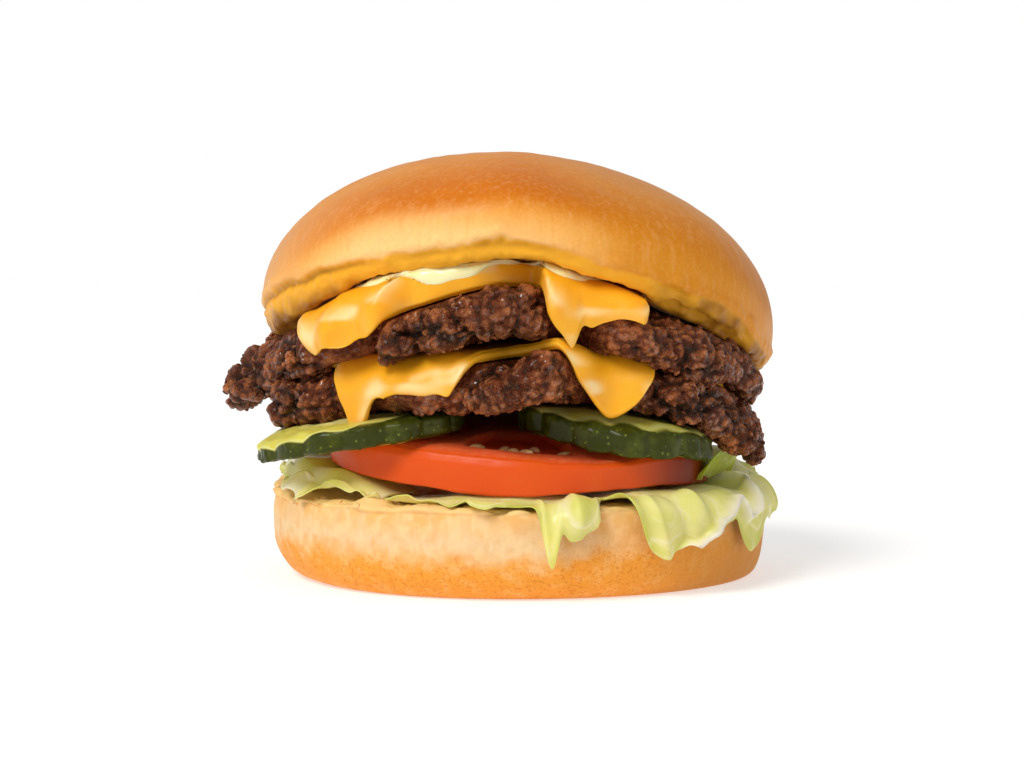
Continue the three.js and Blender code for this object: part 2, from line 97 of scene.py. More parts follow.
LOWER_LAYER = {
    "middle": 44.6,
    "sag": {"left": 7.4, "right": 14, "front": 3, "back": 11},
    "swells": [(9, -53, 9, 3.2), (53, -22, 9, -3.8)],
    "plump": [(334, 1, 14)],
    "radius": 49,
    "outline": [
        (206, 7.5, 12), (228, -2, 6), (247, 3, 9), (268, 7, 7), (277, 6, 5), (291, -7, 5),
        (312, 6, 9), (334, 6, 12), (20, 3, 14), (75, 1, 15), (120, -2, 12), (160, 2, 14),
    ],
    "half_side": 43, "turn": 6, "corner_round": 7,
    "slice_lobes": [
        (220, -3, 5), (230, 7, 4), (247, 7, 9), (257, 5, 9, 4), (255.5, 3, 2.5), (273, 3.5, 7),
        (289, 13, 13.5, 4), (316, -8, 11), (340, -4, 11),
    ],
    "bridges": [(291, 4, 6)],
    "puddles": [], "slack": -1,
}
print("runs and dips of the slices:", [len(layer["slice_lobes"]) for layer in (UPPER_LAYER, LOWER_LAYER)])

# %% [markdown]
# ## Rules of shape
# Each piece is one formula from a direction and a way along its profile. The helpers here are the few
# curves that the formulas share: a bell, a soft step, and the sum of lobes round the burger.

# %% Shared curves
def bell(distance, width, power=2):
    """1 at no distance, falling off over `width`; a greater power makes it blunt."""
    return np.exp(-np.abs(distance / width) ** power)


def smooth(value, low, high):
    """A soft step from 0 at low to 1 at high."""
    share = np.clip((value - low) / (high - low), 0, 1)
    return share * share * (3 - 2 * share)


def lobes_at(lobes, direction):
    """Sum of lobes at directions in degrees."""
    total = np.zeros_like(direction, dtype=float)
    for at, reach, width, *power in lobes:
        total += reach * bell((direction - at + 540) % 360 - 180, width, *power)
    return total


def round_to(direction, out):
    """x and y of a place `out` from the middle in a direction in degrees."""
    return out * np.cos(np.radians(direction)), out * np.sin(np.radians(direction))


def swells_at(swells, x, y):
    """Sum of round rises and dips over a place on the plan."""
    return sum((rise * bell(np.hypot(x - cx, y - cy), radius) for cx, cy, radius, rise in swells), 0 * x)


def layer_height(layer, x, y):
    """The middle height of a sagging layer over a place on the plan."""
    sag = layer["sag"]
    across = np.where(
        x < 0, sag["left"] * (x / SAG_REACH) ** 2, sag["right"] * np.abs(x / SAG_REACH) ** RIGHT_SAG_POWER
    )
    along = np.where(y < 0, sag["front"], sag["back"]) * (y / SAG_REACH) ** 2
    return layer["middle"] - across - along + swells_at(layer["swells"], x, y)


def slice_reach(layer, direction):
    """How far a melted square slice reaches from its middle, along its surface."""
    in_square = np.radians((direction - layer["turn"] + 45 + 360) % 90 - 45)
    round_corner = layer["half_side"] * math.sqrt(2) - layer["corner_round"]
    return np.minimum(layer["half_side"] / np.cos(in_square), round_corner) + lobes_at(
        layer["slice_lobes"], direction
    )


def patty_radius(layer, direction):
    return layer["radius"] + lobes_at(layer["outline"], direction)


def layer_top(layer, x, y):
    """Height of the top of a patty with its cheese, rounded off at its edge; 0 outside it."""
    direction = np.degrees(np.arctan2(y, x)) % 360
    edge = patty_radius(layer, direction) - PATTY_HALF
    out = np.hypot(x, y)
    covered = slice_reach(layer, direction) > np.minimum(out, edge)
    tall = PATTY_HALF + np.where(covered, GAP + CHEESE_THICK, 0)
    past = np.clip((out - edge) / tall, 0, None)
    top = layer_height(layer, x, y) + tall * np.sqrt(np.clip(1 - past**2, 0, None))
    return np.where(past > 1, 0, top)


print("upper layer's middle height over the front edge:", layer_height(UPPER_LAYER, 0.0, -54.0).round(1))

# %% [markdown]
# ## Noise
# Bread, beef and leaf are uneven, and each has its own grain. Two kinds of repeatable noise make all of
# it: a soft one, for swells and blotches, and a heap of pebbles, for granules, pores and cells. Both
# are worked out from whole-number cells, so that every run gives the same burger.

# %% Repeatable noise
def hashed(cells, seed):
    """A repeatable number from 0 to 1 for each row of whole-number cells."""
    mixed = (cells.astype(np.int64) * np.array([73856093, 19349663, 83492791])).sum(-1) + 668265263 * seed
    for shift, factor in ((15, 2246822519), (13, 3266489917)):
        mixed = ((mixed ^ (mixed >> shift)) * factor) & 0xFFFFFFFF
    return (mixed ^ (mixed >> 16)) / 0xFFFFFFFF


def soft_noise(points, size, seed=0):
    """Smooth noise from -1 to 1 with lumps about `size` across, which may differ by axis."""
    where = points / np.asarray(size, float)
    base = np.floor(where)
    share = where - base
    share = share**2 * (3 - 2 * share)
    total = 0
    for corner in np.ndindex(2, 2, 2):
        weight = np.prod(np.where(corner, share, 1 - share), axis=-1)
        total = total + weight * hashed(base + corner, seed)
    return 2 * total - 1


def pebbles(points, size, seed=0):
    """For a heap of pebbles `size` apart: distances to the two nearest centres, in sizes."""
    where = points / np.asarray(size, float)
    base = np.floor(where)
    near = np.full(len(where), 9.0)
    second = np.full(len(where), 9.0)
    for step in np.ndindex(3, 3, 3):
        cell = base + step - 1
        jitter = np.stack([hashed(cell, seed + k) for k in range(3)], -1)
        distance = np.linalg.norm(where - (cell + 0.1 + 0.8 * jitter), axis=-1)
        second = np.minimum(second, np.maximum(near, distance))
        near = np.minimum(near, distance)
    return near, second


print("noise at one place:", soft_noise(np.array([[1.0, 2.0, 3.0]]), 7).round(3))

# %% [markdown]
# ## Closed meshes
# A ring of spokes would crowd its faces at a pole, where a bun's top is looked at. So a round piece is
# made of two square grids bent to discs, one over and one under, that share their rim: even faces and
# no pole. A way of 0 is the middle of its top, 0.5 its rim and 1 the middle of its underside. Each
# piece has a place function, which turns directions and ways into points.

# %% Meshes of round pieces
def disc_grid(cells):
    """A square grid bent to a disc: how far out each point is, 0 to 1, and its direction in degrees."""
    line = np.linspace(-1, 1, cells + 1)
    across, along = np.meshgrid(line, line)
    sideways = np.abs(across) > np.abs(along)
    longer = np.where(sideways, across, along)
    shorter = np.where(sideways, along, across)
    share = np.divide(shorter, longer, out=np.zeros_like(longer), where=longer != 0)
    angle = np.where(sideways, 45 * share, 90 - 45 * share) + np.where(longer < 0, 180, 0)
    return np.abs(longer).ravel(), angle.ravel() % 360


def slab(cells, place):
    """Points, faces, directions and ways of a closed round piece; `place` gives the points."""
    out, direction = disc_grid(cells)
    inner = out < 1 - 1e-9
    over = np.arange(out.size)
    under = over.copy()
    under[inner] = out.size + np.arange(inner.sum())
    way = np.concatenate([out / 2, 1 - out[inner] / 2])
    direction = np.concatenate([direction, direction[inner]])
    corner = over.reshape(cells + 1, cells + 1)
    quads = [corner[:-1, :-1], corner[:-1, 1:], corner[1:, 1:], corner[1:, :-1]]
    quads = np.stack(quads, -1).reshape(-1, 4)
    faces = np.concatenate([over[quads], under[quads][:, ::-1]])
    return place(direction, way), faces, direction, way


def new_piece(name, points, faces, material):
    """A smooth-shaded object at the origin from points in millimetres."""
    mesh = bpy.data.meshes.new(name)
    mesh.from_pydata((points * MM).tolist(), [], faces.tolist())
    mesh.shade_smooth()
    mesh.materials.append(material)
    piece = bpy.data.objects.new(name, mesh)
    bpy.context.scene.collection.objects.link(piece)
    return piece


def points_of(piece):
    """The piece's points and outward directions, in millimetres."""
    count = len(piece.data.vertices)
    points, normals = np.empty(count * 3), np.empty(count * 3)
    piece.data.vertices.foreach_get("co", points)
    piece.data.vertex_normals.foreach_get("vector", normals)
    return points.reshape(-1, 3) / MM, normals.reshape(-1, 3)


def push_out(piece, amount):
    """Moves each point of a piece outward by its amount in millimetres."""
    points, normals = points_of(piece)
    moved = points + normals * np.asarray(amount)[:, None]
    piece.data.vertices.foreach_set("co", (moved * MM).ravel())
    piece.data.update()


def mark(piece, **marks_of_points):
    """Keeps values for the points under names that materials and Geometry Nodes read."""
    for name, values in marks_of_points.items():
        layer = piece.data.attributes.new(name, "FLOAT", "POINT")
        layer.data.foreach_set("value", np.asarray(values, np.float32))


def hand_over(piece, material_slot, *nodes):
    """Puts a finished piece on the one body, where it rides, and hides the solids that it stands for."""
    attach(piece, "root")
    if nodes:
        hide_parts(*nodes)
    print(f"{piece.name}: {len(piece.data.polygons)} faces")


print("points over and under the smallest slab:", disc_grid(2)[0].size)

# %% [markdown]
# ## Materials
# Colours are written as the sRGB hex codes that a colour picker shows, and turned to the linear values
# that Blender's sockets hold. One helper adds any node with its settings and links. Patterns read
# Object coordinates, which are metres, so lumps of 4 mm need a scale of 1 / 0.004. What differs from
# place to place by the form of the food, such as skin and cut face, is worked out on the mesh and read
# here by its name.

# %% Material helpers
def colour(hex_code):
    """An sRGB hex colour as linear RGBA."""
    channels = [int(hex_code[i:i + 2], 16) / 255 for i in (1, 3, 5)]
    return [c / 12.92 if c <= 0.04045 else ((c + 0.055) / 1.055) ** 2.4 for c in channels] + [1.0]


def add(tree, kind, inputs=(), **settings):
    """Adds a node; inputs maps socket names or numbers to values or to the sockets that feed them."""
    node = tree.nodes.new(kind)
    for name, value in settings.items():
        setattr(node, name, value)
    for name, value in dict(inputs).items():
        if isinstance(value, bpy.types.NodeSocket):
            tree.links.new(value, node.inputs[name])
        else:
            node.inputs[name].default_value = value
    return node


def new_material(name, **inputs):
    """A material with one Principled surface: its node tree, that surface and object coordinates.

    An input's name is written with _ for each space.
    """
    material = bpy.data.materials.new(name)
    material.use_nodes = True
    tree = material.node_tree
    tree.nodes.clear()
    spaced = {label.replace("_", " "): value for label, value in inputs.items()}
    surface = add(tree, "ShaderNodeBsdfPrincipled", spaced)
    add(tree, "ShaderNodeOutputMaterial", {"Surface": surface.outputs[0]})
    place = add(tree, "ShaderNodeTexCoord").outputs["Object"]
    print("material:", name)
    return material, tree, surface, place


def paint(tree, surface, ground, *coats):
    """Colours the surface: a ground hex colour, then coats of (mask socket, hex colour) over it.

    A coat may also be (pattern, low, high, most, hex colour): as the pattern runs from low to high, the coat
    grows from nothing to `most`.
    """
    painted = colour(ground)
    for mask, *growth, hex_code in coats:
        if growth:
            low, high, most = growth
            rise = {"Value": mask, 1: low, 2: high, 3: 0, 4: most}
            mask = add(tree, "ShaderNodeMapRange", rise, interpolation_type="SMOOTHSTEP").outputs[0]
        mix = add(tree, "ShaderNodeMix", {0: mask, 6: painted, 7: colour(hex_code)}, data_type="RGBA")
        painted = mix.outputs[2]
    tree.links.new(painted, surface.inputs["Base Color"])


print("a mid grey as a linear value:", round(colour("#808080")[0], 3))

# %% [markdown]
# ### Glazed crust
# The top is a soft enriched bun, brushed with egg wash and baked: golden orange on top, paler down its side
# where neighbours in the tin shaded it, with fine upright wrinkles and a satin shine. Below its edge the cut
# crumb is yellow with butter. The oven coloured the crust most on its upper side, and that band is darkened
# further as painted shade, because the top gets more light. The right side is painted browner, as shade away
# from the light. The pale front band is partly its own colour and partly painted light from below, and the
# left side is paler as a painted highlight. "shade" is painted shade on the crumb under the edge, deeper on
# the right and along the groove.

# %% Top bun's material
TOP_CRUST, tree, surface, place = new_material(
    "glazed_bun_crust",
    Roughness=0.38, IOR=1.45, Specular_IOR_Level=0.12, Subsurface_Weight=0.1, Subsurface_Scale=0.003,
    Subsurface_Radius=(1.0, 0.4, 0.12), Sheen_Weight=0.09, Sheen_Roughness=0.3,
    Sheen_Tint=(1.0, 0.88, 0.76, 1.0),
)
crumb = add(tree, "ShaderNodeAttribute", attribute_name="crumb").outputs["Fac"]
pale = add(tree, "ShaderNodeAttribute", attribute_name="pale").outputs["Fac"]
baked = add(tree, "ShaderNodeAttribute", attribute_name="baked").outputs["Fac"]
brown = add(tree, "ShaderNodeAttribute", attribute_name="brown").outputs["Fac"]
shade = add(tree, "ShaderNodeAttribute", attribute_name="shade").outputs["Fac"]
upright = add(tree, "ShaderNodeMapping", {"Vector": place, "Scale": (1, 1, 0.16)}).outputs[0]
wrinkles = add(
    tree, "ShaderNodeTexNoise", {"Vector": upright, "Scale": 1 / MM / 1.3, "Detail": 3}
).outputs[0]
blotches = add(
    tree, "ShaderNodeTexNoise", {"Vector": place, "Scale": 1 / MM / 13, "Detail": 4}
).outputs[0]
flour = add(tree, "ShaderNodeTexNoise", {"Vector": place, "Scale": 1 / MM / 0.7, "Detail": 2}).outputs[0]
paint(
    tree, surface, "#eea02e",
    # the oven's colour, with painted shade on the upper side, which gets less light than the top
    (baked, "#c86a04"),
    (blotches, 0.35, 0.7, 0.4, "#d67606"),
    # painted shade: the right side, away from the light, is browner
    (brown, "#c87e16"),
    # paler front band, partly own colour and partly painted light from below; paler left side, a painted
    # highlight
    (pale, "#f7c680"),
    (wrinkles, 0.48, 0.72, 0.12, "#f9c88a"),
    (wrinkles, 0.46, 0.25, 0.16, "#cf7012"),
    (flour, 0.5, 0.66, 0.05, "#ffd9a0"),
    (flour, 0.48, 0.34, 0.07, "#b85a08"),
    (crumb, "#eda92c"),
    # painted shade on the crumb under the edge, on the right and along the groove
    (shade, "#86500f"),
)
on_crust = add(
    tree, "ShaderNodeMapRange", {"Value": crumb, 1: 0, 2: 1, 3: 1, 4: 0},
    interpolation_type="SMOOTHSTEP",
).outputs[0]
terms = {0: wrinkles, 1: on_crust, 2: flour}  # wrinkles only where there is crust, flour all over
bumps = add(tree, "ShaderNodeMath", terms, operation="MULTIPLY_ADD").outputs[0]
bump = add(tree, "ShaderNodeBump", {"Height": bumps, "Distance": 0.07 * MM, "Strength": 0.7}).outputs[0]
tree.links.new(bump, surface.inputs["Normal"])

# %% [markdown]
# ### Bottom crust
# The bottom bun keeps a pale, floury side, and browns in its lower third where it stood in the tin.
# Open pores speckle the brown part. Its cut face is pale and dry. "pale" is the floury band, and "shade" is
# painted shade on the side that stands away from the light. The brown is also painted deeper on the lower
# right, as painted shade.

# %% Bottom bun's material
HEEL_CRUST, tree, surface, place = new_material(
    "baked_bun_heel",
    Roughness=0.6, IOR=1.45, Specular_IOR_Level=0.25, Subsurface_Weight=0.12, Subsurface_Scale=0.003,
    Subsurface_Radius=(1.0, 0.45, 0.15),
)
crumb = add(tree, "ShaderNodeAttribute", attribute_name="crumb").outputs["Fac"]
brown = add(tree, "ShaderNodeAttribute", attribute_name="brown").outputs["Fac"]
shade = add(tree, "ShaderNodeAttribute", attribute_name="shade").outputs["Fac"]
pale = add(tree, "ShaderNodeAttribute", attribute_name="pale").outputs["Fac"]
upright = add(tree, "ShaderNodeMapping", {"Vector": place, "Scale": (1, 1, 0.3)}).outputs[0]
wrinkles = add(
    tree, "ShaderNodeTexNoise", {"Vector": upright, "Scale": 1 / MM / 1.3, "Detail": 3}
).outputs[0]
blotches = add(
    tree, "ShaderNodeTexNoise", {"Vector": place, "Scale": 1 / MM / 6, "Detail": 5}
).outputs[0]
mottle = add(
    tree, "ShaderNodeTexNoise", {"Vector": place, "Scale": 1 / MM / 2.6, "Detail": 4}
).outputs[0]
specks = add(
    tree, "ShaderNodeTexNoise", {"Vector": place, "Scale": 1 / MM / 0.6, "Detail": 3}
).outputs[0]
dark_specks = add(
    tree, "ShaderNodeMapRange", {"Value": specks, 1: 0.5, 2: 0.68, 3: 0, 4: 0.6},
    interpolation_type="SMOOTHSTEP",
).outputs[0]
speckle = add(tree, "ShaderNodeMath", {0: dark_specks, 1: brown}, operation="MULTIPLY").outputs[0]
paint(
    tree, surface, "#ecb468",
    (pale, "#e4c192"),
    (blotches, 0.45, 0.68, 0.5, "#e8c496"),
    (blotches, 0.45, 0.3, 0.4, "#e5a040"),
    (mottle, 0.47, 0.66, 0.42, "#f2d8b2"),
    (mottle, 0.46, 0.32, 0.35, "#dfa562"),
    (wrinkles, 0.5, 0.75, 0.3, "#f2dab0"),
    # the bake's brown, and painted shade on the lower right
    (brown, "#ee9c34"),
    (mottle, 0.5, 0.66, 0.35, "#f6bd70"),
    (speckle, "#d2741a"),
    (crumb, "#f0c580"),
    (shade, "#c27f2e"),
)
bumps = add(tree, "ShaderNodeMath", {0: wrinkles, 1: specks}, operation="ADD").outputs[0]
bump = add(tree, "ShaderNodeBump", {"Height": bumps, "Distance": 0.1 * MM, "Strength": 0.6}).outputs[0]
tree.links.new(bump, surface.inputs["Normal"])

# %% [markdown]
# ### Seared beef
# Minced beef is pressed on a hot plate and is wet with fat all over. It is painted reddish brown on its high
# spots, a painted highlight, and nearly black in its folds, painted shade. The mesh carries the lumps: "pit"
# says where a fold is deep, "high" where a lump stands out and "under" where the greyer underside begins. A
# thin coat on the high spots gives the small wet glints.

# %% Beef's material
BEEF, tree, surface, place = new_material(
    "seared_ground_beef",
    IOR=1.45, Coat_Roughness=0.12, Specular_IOR_Level=0.34, Specular_Tint=(1.0, 0.8, 0.62, 1.0),
)
pit = add(tree, "ShaderNodeAttribute", attribute_name="pit").outputs["Fac"]
high = add(tree, "ShaderNodeAttribute", attribute_name="high").outputs["Fac"]
under = add(tree, "ShaderNodeAttribute", attribute_name="under").outputs["Fac"]
sear = add(tree, "ShaderNodeTexNoise", {"Vector": place, "Scale": 1 / MM / 9, "Detail": 3}).outputs[0]
fibre = add(tree, "ShaderNodeTexNoise", {"Vector": place, "Scale": 1 / MM / 1.5, "Detail": 4}).outputs[0]
grain = add(tree, "ShaderNodeTexNoise", {"Vector": place, "Scale": 1 / MM / 0.5, "Detail": 3}).outputs[0]
paint(
    tree, surface, "#59220c",
    # painted highlight: lighter reddish brown where a lump stands out
    (high, "#bf7040"),
    (sear, 0.45, 0.66, 0.6, "#64290e"),
    (under, "#8e5430"),
    (fibre, 0.52, 0.7, 0.6, "#b87448"),
    (grain, 0.48, 0.25, 0.7, "#260c03"),
    # painted shade: nearly black in the deep folds
    (pit, "#0e0401"),
)
wet = add(tree, "ShaderNodeTexNoise", {"Vector": place, "Scale": 1 / MM / 1.1, "Detail": 2}).outputs[0]
wet_spots = add(
    tree, "ShaderNodeMapRange", {"Value": wet, 1: 0.52, 2: 0.58, 3: 0, 4: 1},
    interpolation_type="SMOOTHSTEP",
).outputs[0]
stands_out = add(
    tree, "ShaderNodeMapRange", {"Value": high, 1: 0.02, 2: 0.3, 3: 0.2, 4: 1},
    interpolation_type="SMOOTHSTEP",
).outputs[0]
glints = add(tree, "ShaderNodeMath", {0: wet_spots, 1: stands_out}, operation="MULTIPLY").outputs[0]
tree.links.new(glints, surface.inputs["Coat Weight"])
dullness = add(
    tree, "ShaderNodeMapRange", {"Value": fibre, 1: 0.3, 2: 0.7, 3: 0.26, 4: 0.55},
    interpolation_type="SMOOTHSTEP",
).outputs[0]
tree.links.new(dullness, surface.inputs["Roughness"])
bumps = add(tree, "ShaderNodeMath", {0: grain, 1: fibre}, operation="ADD").outputs[0]
bump = add(tree, "ShaderNodeBump", {"Height": bumps, "Distance": 0.8 * MM, "Strength": 1}).outputs[0]
tree.links.new(bump, surface.inputs["Normal"])

# %% [markdown]
# ### Melted cheese
# Processed cheese melts smooth and keeps one warm yellow. Light goes a few millimetres into it, so its edges
# glow and its shadows stay warm; a thin film of fat gives the soft gloss. A pale coat along each slice's
# rolled edge is a painted highlight, a sheen where the edge curls towards the light.

# %% Cheese's material
CHEESE, tree, surface, place = new_material(
    "melted_processed_cheese",
    Roughness=0.36, IOR=1.46, Specular_IOR_Level=0.3, Subsurface_Weight=0.3, Subsurface_Scale=0.004,
    Subsurface_Radius=(1.0, 0.45, 0.08), Coat_Weight=0.08, Coat_Roughness=0.2,
)
fat = add(tree, "ShaderNodeAttribute", attribute_name="fat").outputs["Fac"]
blotches = add(
    tree, "ShaderNodeTexNoise", {"Vector": place, "Scale": 1 / MM / 12, "Detail": 3}
).outputs[0]
film = add(tree, "ShaderNodeTexNoise", {"Vector": place, "Scale": 1 / MM / 2.5, "Detail": 3}).outputs[0]
paint(
    tree, surface, "#f7a81a",
    (blotches, 0.4, 0.7, 0.5, "#fab42c"),
    (film, 0.55, 0.75, 0.25, "#f09a12"),
    # painted highlight: a pale sheen along the rolled edge
    (fat, "#fde0a8"),
)
bump = add(tree, "ShaderNodeBump", {"Height": film, "Distance": 0.12 * MM, "Strength": 0.35}).outputs[0]
tree.links.new(bump, surface.inputs["Normal"])

# %% [markdown]
# ### Tomato
# A ripe slice has an orange-red skin round its rim, salmon flesh on its cut faces and wet red gel in
# its seed pockets. "skin" and "gel" say which is which, and "shade" darkens its right end, which lies
# deep under the beef. Its seeds are pale, smooth and wet.

# %% Tomato's materials
TOMATO_FLESH, tree, surface, place = new_material(
    "ripe_tomato",
    Roughness=0.42, IOR=1.36, Specular_IOR_Level=0.28, Subsurface_Weight=0.2, Subsurface_Scale=0.004,
    Subsurface_Radius=(1.0, 0.2, 0.05), Coat_Weight=0.06, Coat_Roughness=0.12,
)
skin = add(tree, "ShaderNodeAttribute", attribute_name="skin").outputs["Fac"]
gel = add(tree, "ShaderNodeAttribute", attribute_name="gel").outputs["Fac"]
shade = add(tree, "ShaderNodeAttribute", attribute_name="shade").outputs["Fac"]
cells = add(tree, "ShaderNodeTexNoise", {"Vector": place, "Scale": 1 / MM / 1.2, "Detail": 3}).outputs[0]
blotches = add(
    tree, "ShaderNodeTexNoise", {"Vector": place, "Scale": 1 / MM / 9, "Detail": 3}
).outputs[0]
paint(
    tree, surface, "#ec5e32",
    (cells, 0.45, 0.7, 0.5, "#f58a5a"),
    (skin, "#d84f10"),
    (blotches, 0.45, 0.7, 0.35, "#de5e14"),
    (gel, "#f04a20"),
    (shade, "#5a180a"),
)
bump = add(tree, "ShaderNodeBump", {"Height": cells, "Distance": 0.1 * MM, "Strength": 0.4}).outputs[0]
tree.links.new(bump, surface.inputs["Normal"])

SEED, tree, surface, place = new_material(
    "tomato_seed",
    Roughness=0.25, IOR=1.4, Coat_Weight=0.5, Coat_Roughness=0.1,
)
fuzz = add(tree, "ShaderNodeTexNoise", {"Vector": place, "Scale": 1 / MM / 0.7, "Detail": 2}).outputs[0]
paint(tree, surface, "#f0ac68", (fuzz, 0.4, 0.7, 1, "#fad09a"))

# %% [markdown]
# ### Pickle
# A pickled cucumber slice has dark green warty skin, and yellow-green flesh that lets light through,
# paler towards its wet, seeded middle ("heart"), with a thin pale "line" under the skin. "shade"
# darkens the slice on the right, which lies deeper under the beef.

# %% Pickle's material
PICKLE_FLESH, tree, surface, place = new_material(
    "pickled_cucumber",
    Roughness=0.36, IOR=1.37, Specular_IOR_Level=0.16, Subsurface_Weight=0.12, Subsurface_Scale=0.003,
    Subsurface_Radius=(0.7, 1.0, 0.15), Coat_Weight=0.12, Coat_Roughness=0.1,
)
skin = add(tree, "ShaderNodeAttribute", attribute_name="skin").outputs["Fac"]
line = add(tree, "ShaderNodeAttribute", attribute_name="line").outputs["Fac"]
heart = add(tree, "ShaderNodeAttribute", attribute_name="heart").outputs["Fac"]
shade = add(tree, "ShaderNodeAttribute", attribute_name="shade").outputs["Fac"]
blotches = add(
    tree, "ShaderNodeTexNoise", {"Vector": place, "Scale": 1 / MM / 3.5, "Detail": 4}
).outputs[0]
dots = add(tree, "ShaderNodeTexVoronoi", {"Vector": place, "Scale": 1 / MM / 1.6}).outputs["Distance"]
pale_patches = add(
    tree, "ShaderNodeMapRange", {"Value": blotches, 1: 0.45, 2: 0.68, 3: 0, 4: 0.75},
    interpolation_type="SMOOTHSTEP",
).outputs[0]
patches_on_skin = add(
    tree, "ShaderNodeMath", {0: skin, 1: pale_patches}, operation="MULTIPLY"
).outputs[0]
wart_spots = add(
    tree, "ShaderNodeMapRange", {"Value": dots, 1: 0.22, 2: 0.1, 3: 0, 4: 0.5},
    interpolation_type="SMOOTHSTEP",
).outputs[0]
warts_on_skin = add(tree, "ShaderNodeMath", {0: skin, 1: wart_spots}, operation="MULTIPLY").outputs[0]
paint(
    tree, surface, "#d2c856",
    (heart, "#e6dc88"),
    (blotches, 0.45, 0.65, 0.5, "#c9b840"),
    (line, "#d9d98a"),
    (shade, "#77712c"),
    (skin, "#34390a"),
    (patches_on_skin, "#4c5214"),
    (warts_on_skin, "#7f8a3a"),
)
bump = add(
    tree, "ShaderNodeBump", {"Height": blotches, "Distance": 0.4 * MM, "Strength": 0.5}
).outputs[0]
tree.links.new(bump, surface.inputs["Normal"])

# %% [markdown]
# ### Lettuce
# Iceberg leaf is a pale yellow-green, nearly white along its ribs and greener in its folds. It is thin
# and wet, so light comes through it and it shines.

# %% Lettuce's material
LETTUCE, tree, surface, place = new_material(
    "iceberg_lettuce",
    Roughness=0.35, IOR=1.38, Specular_IOR_Level=0.4, Subsurface_Weight=0.5, Subsurface_Scale=0.003,
    Subsurface_Radius=(0.8, 1.0, 0.25), Coat_Weight=0.15, Coat_Roughness=0.2,
)
rib = add(tree, "ShaderNodeAttribute", attribute_name="rib").outputs["Fac"]
green = add(tree, "ShaderNodeAttribute", attribute_name="green").outputs["Fac"]
vein = add(tree, "ShaderNodeAttribute", attribute_name="vein").outputs["Fac"]
blotches = add(
    tree, "ShaderNodeTexNoise", {"Vector": place, "Scale": 1 / MM / 6, "Detail": 4}
).outputs[0]
paint(
    tree, surface, "#eeea90",
    (blotches, 0.4, 0.7, 0.7, "#dfe070"),
    (green, "#a9bd3a"),
    (vein, "#f4f2bc"),
    (rib, "#f8f4cc"),
)
bump = add(
    tree, "ShaderNodeBump", {"Height": blotches, "Distance": 0.5 * MM, "Strength": 0.4}
).outputs[0]
tree.links.new(bump, surface.inputs["Normal"])

# %% [markdown]
# ### Sauce
# A spread of mayonnaise with melted butter: pale, smooth and glossy.

# %% Sauce's material
SAUCE, tree, surface, place = new_material(
    "pale_burger_sauce",
    Roughness=0.22, IOR=1.45, Subsurface_Weight=0.4, Subsurface_Scale=0.003,
    Subsurface_Radius=(1.0, 0.7, 0.35), Coat_Weight=0.4, Coat_Roughness=0.1,
)
swirl = add(tree, "ShaderNodeTexNoise", {"Vector": place, "Scale": 1 / MM / 4, "Detail": 3}).outputs[0]
paint(tree, surface, "#fff0b4", (swirl, 0.4, 0.7, 1, "#fee08c"))

# %% [markdown]
# ### Bread crumbs
# Crumbs that fell from the torn cut are pale, dry and matte.

# %% Crumbs' material
CRUMBS, tree, surface, place = new_material(
    "loose_bread_crumb",
    Roughness=0.8, Specular_IOR_Level=0.2,
)
toast = add(tree, "ShaderNodeTexNoise", {"Vector": place, "Scale": 1 / MM / 1.5, "Detail": 2}).outputs[0]
paint(tree, surface, "#ecc78a", (toast, 0.45, 0.65, 1, "#dfa450"))
print("materials:", len(bpy.data.materials))

# %% [markdown]
# ## Scattered lumps
# Granules of beef, tomato seeds and bread crumbs all come as many small round lumps on a surface. One
# kind of Geometry Nodes tree makes them: points spread evenly over the surface, but only where its
# "scatter" mask allows, each with a small ball turned to the surface and stretched by chance. The
# result is kept as a mesh.

# %% The scatter tree
def lump_tree(name, material, fineness):
    """A tree of lumps on a surface, with inputs for how near they lie and how large they are."""
    tree = bpy.data.node_groups.new(name, "GeometryNodeTree")
    inputs = {
        "Surface": "NodeSocketGeometry", "Apart": "NodeSocketFloat",
        "Per square metre": "NodeSocketFloat", "Least": "NodeSocketVector",
        "Greatest": "NodeSocketVector", "Seed": "NodeSocketInt",
    }
    for socket, kind in inputs.items():
        tree.interface.new_socket(socket, in_out="INPUT", socket_type=kind)
    tree.interface.new_socket("Lumps", in_out="OUTPUT", socket_type="NodeSocketGeometry")
    given = add(tree, "NodeGroupInput").outputs
    mask = add(tree, "GeometryNodeInputNamedAttribute", {"Name": "scatter"}, data_type="FLOAT").outputs[0]
    points = add(
        tree, "GeometryNodeDistributePointsOnFaces",
        {
            "Mesh": given["Surface"], "Distance Min": given["Apart"], "Seed": given["Seed"],
            "Density Max": given["Per square metre"], "Density Factor": mask,
        },
        distribute_method="POISSON",
    ).outputs
    any_turn = {"Min": (0, 0, -math.pi), "Max": (0, 0, math.pi), "Seed": given["Seed"]}
    spin = add(tree, "FunctionNodeRandomValue", any_turn, data_type="FLOAT_VECTOR").outputs[0]
    turn = add(
        tree, "FunctionNodeRotateRotation", {"Rotation": points["Rotation"], "Rotate By": spin},
        rotation_space="LOCAL",
    ).outputs[0]
    any_size = {"Min": given["Least"], "Max": given["Greatest"], "Seed": given["Seed"]}
    size = add(tree, "FunctionNodeRandomValue", any_size, data_type="FLOAT_VECTOR").outputs[0]
    ball = add(tree, "GeometryNodeMeshIcoSphere", {"Radius": 1.0, "Subdivisions": fineness}).outputs[0]
    round_ball = add(tree, "GeometryNodeSetShadeSmooth", {"Geometry": ball}).outputs[0]
    lumps = add(
        tree, "GeometryNodeInstanceOnPoints",
        {"Points": points["Points"], "Instance": round_ball, "Rotation": turn, "Scale": size},
    ).outputs[0]
    real = add(tree, "GeometryNodeRealizeInstances", {"Geometry": lumps}).outputs[0]
    finished = add(tree, "GeometryNodeSetMaterial", {"Geometry": real, "Material": material}).outputs[0]
    add(tree, "NodeGroupOutput", {"Lumps": finished})
    return tree


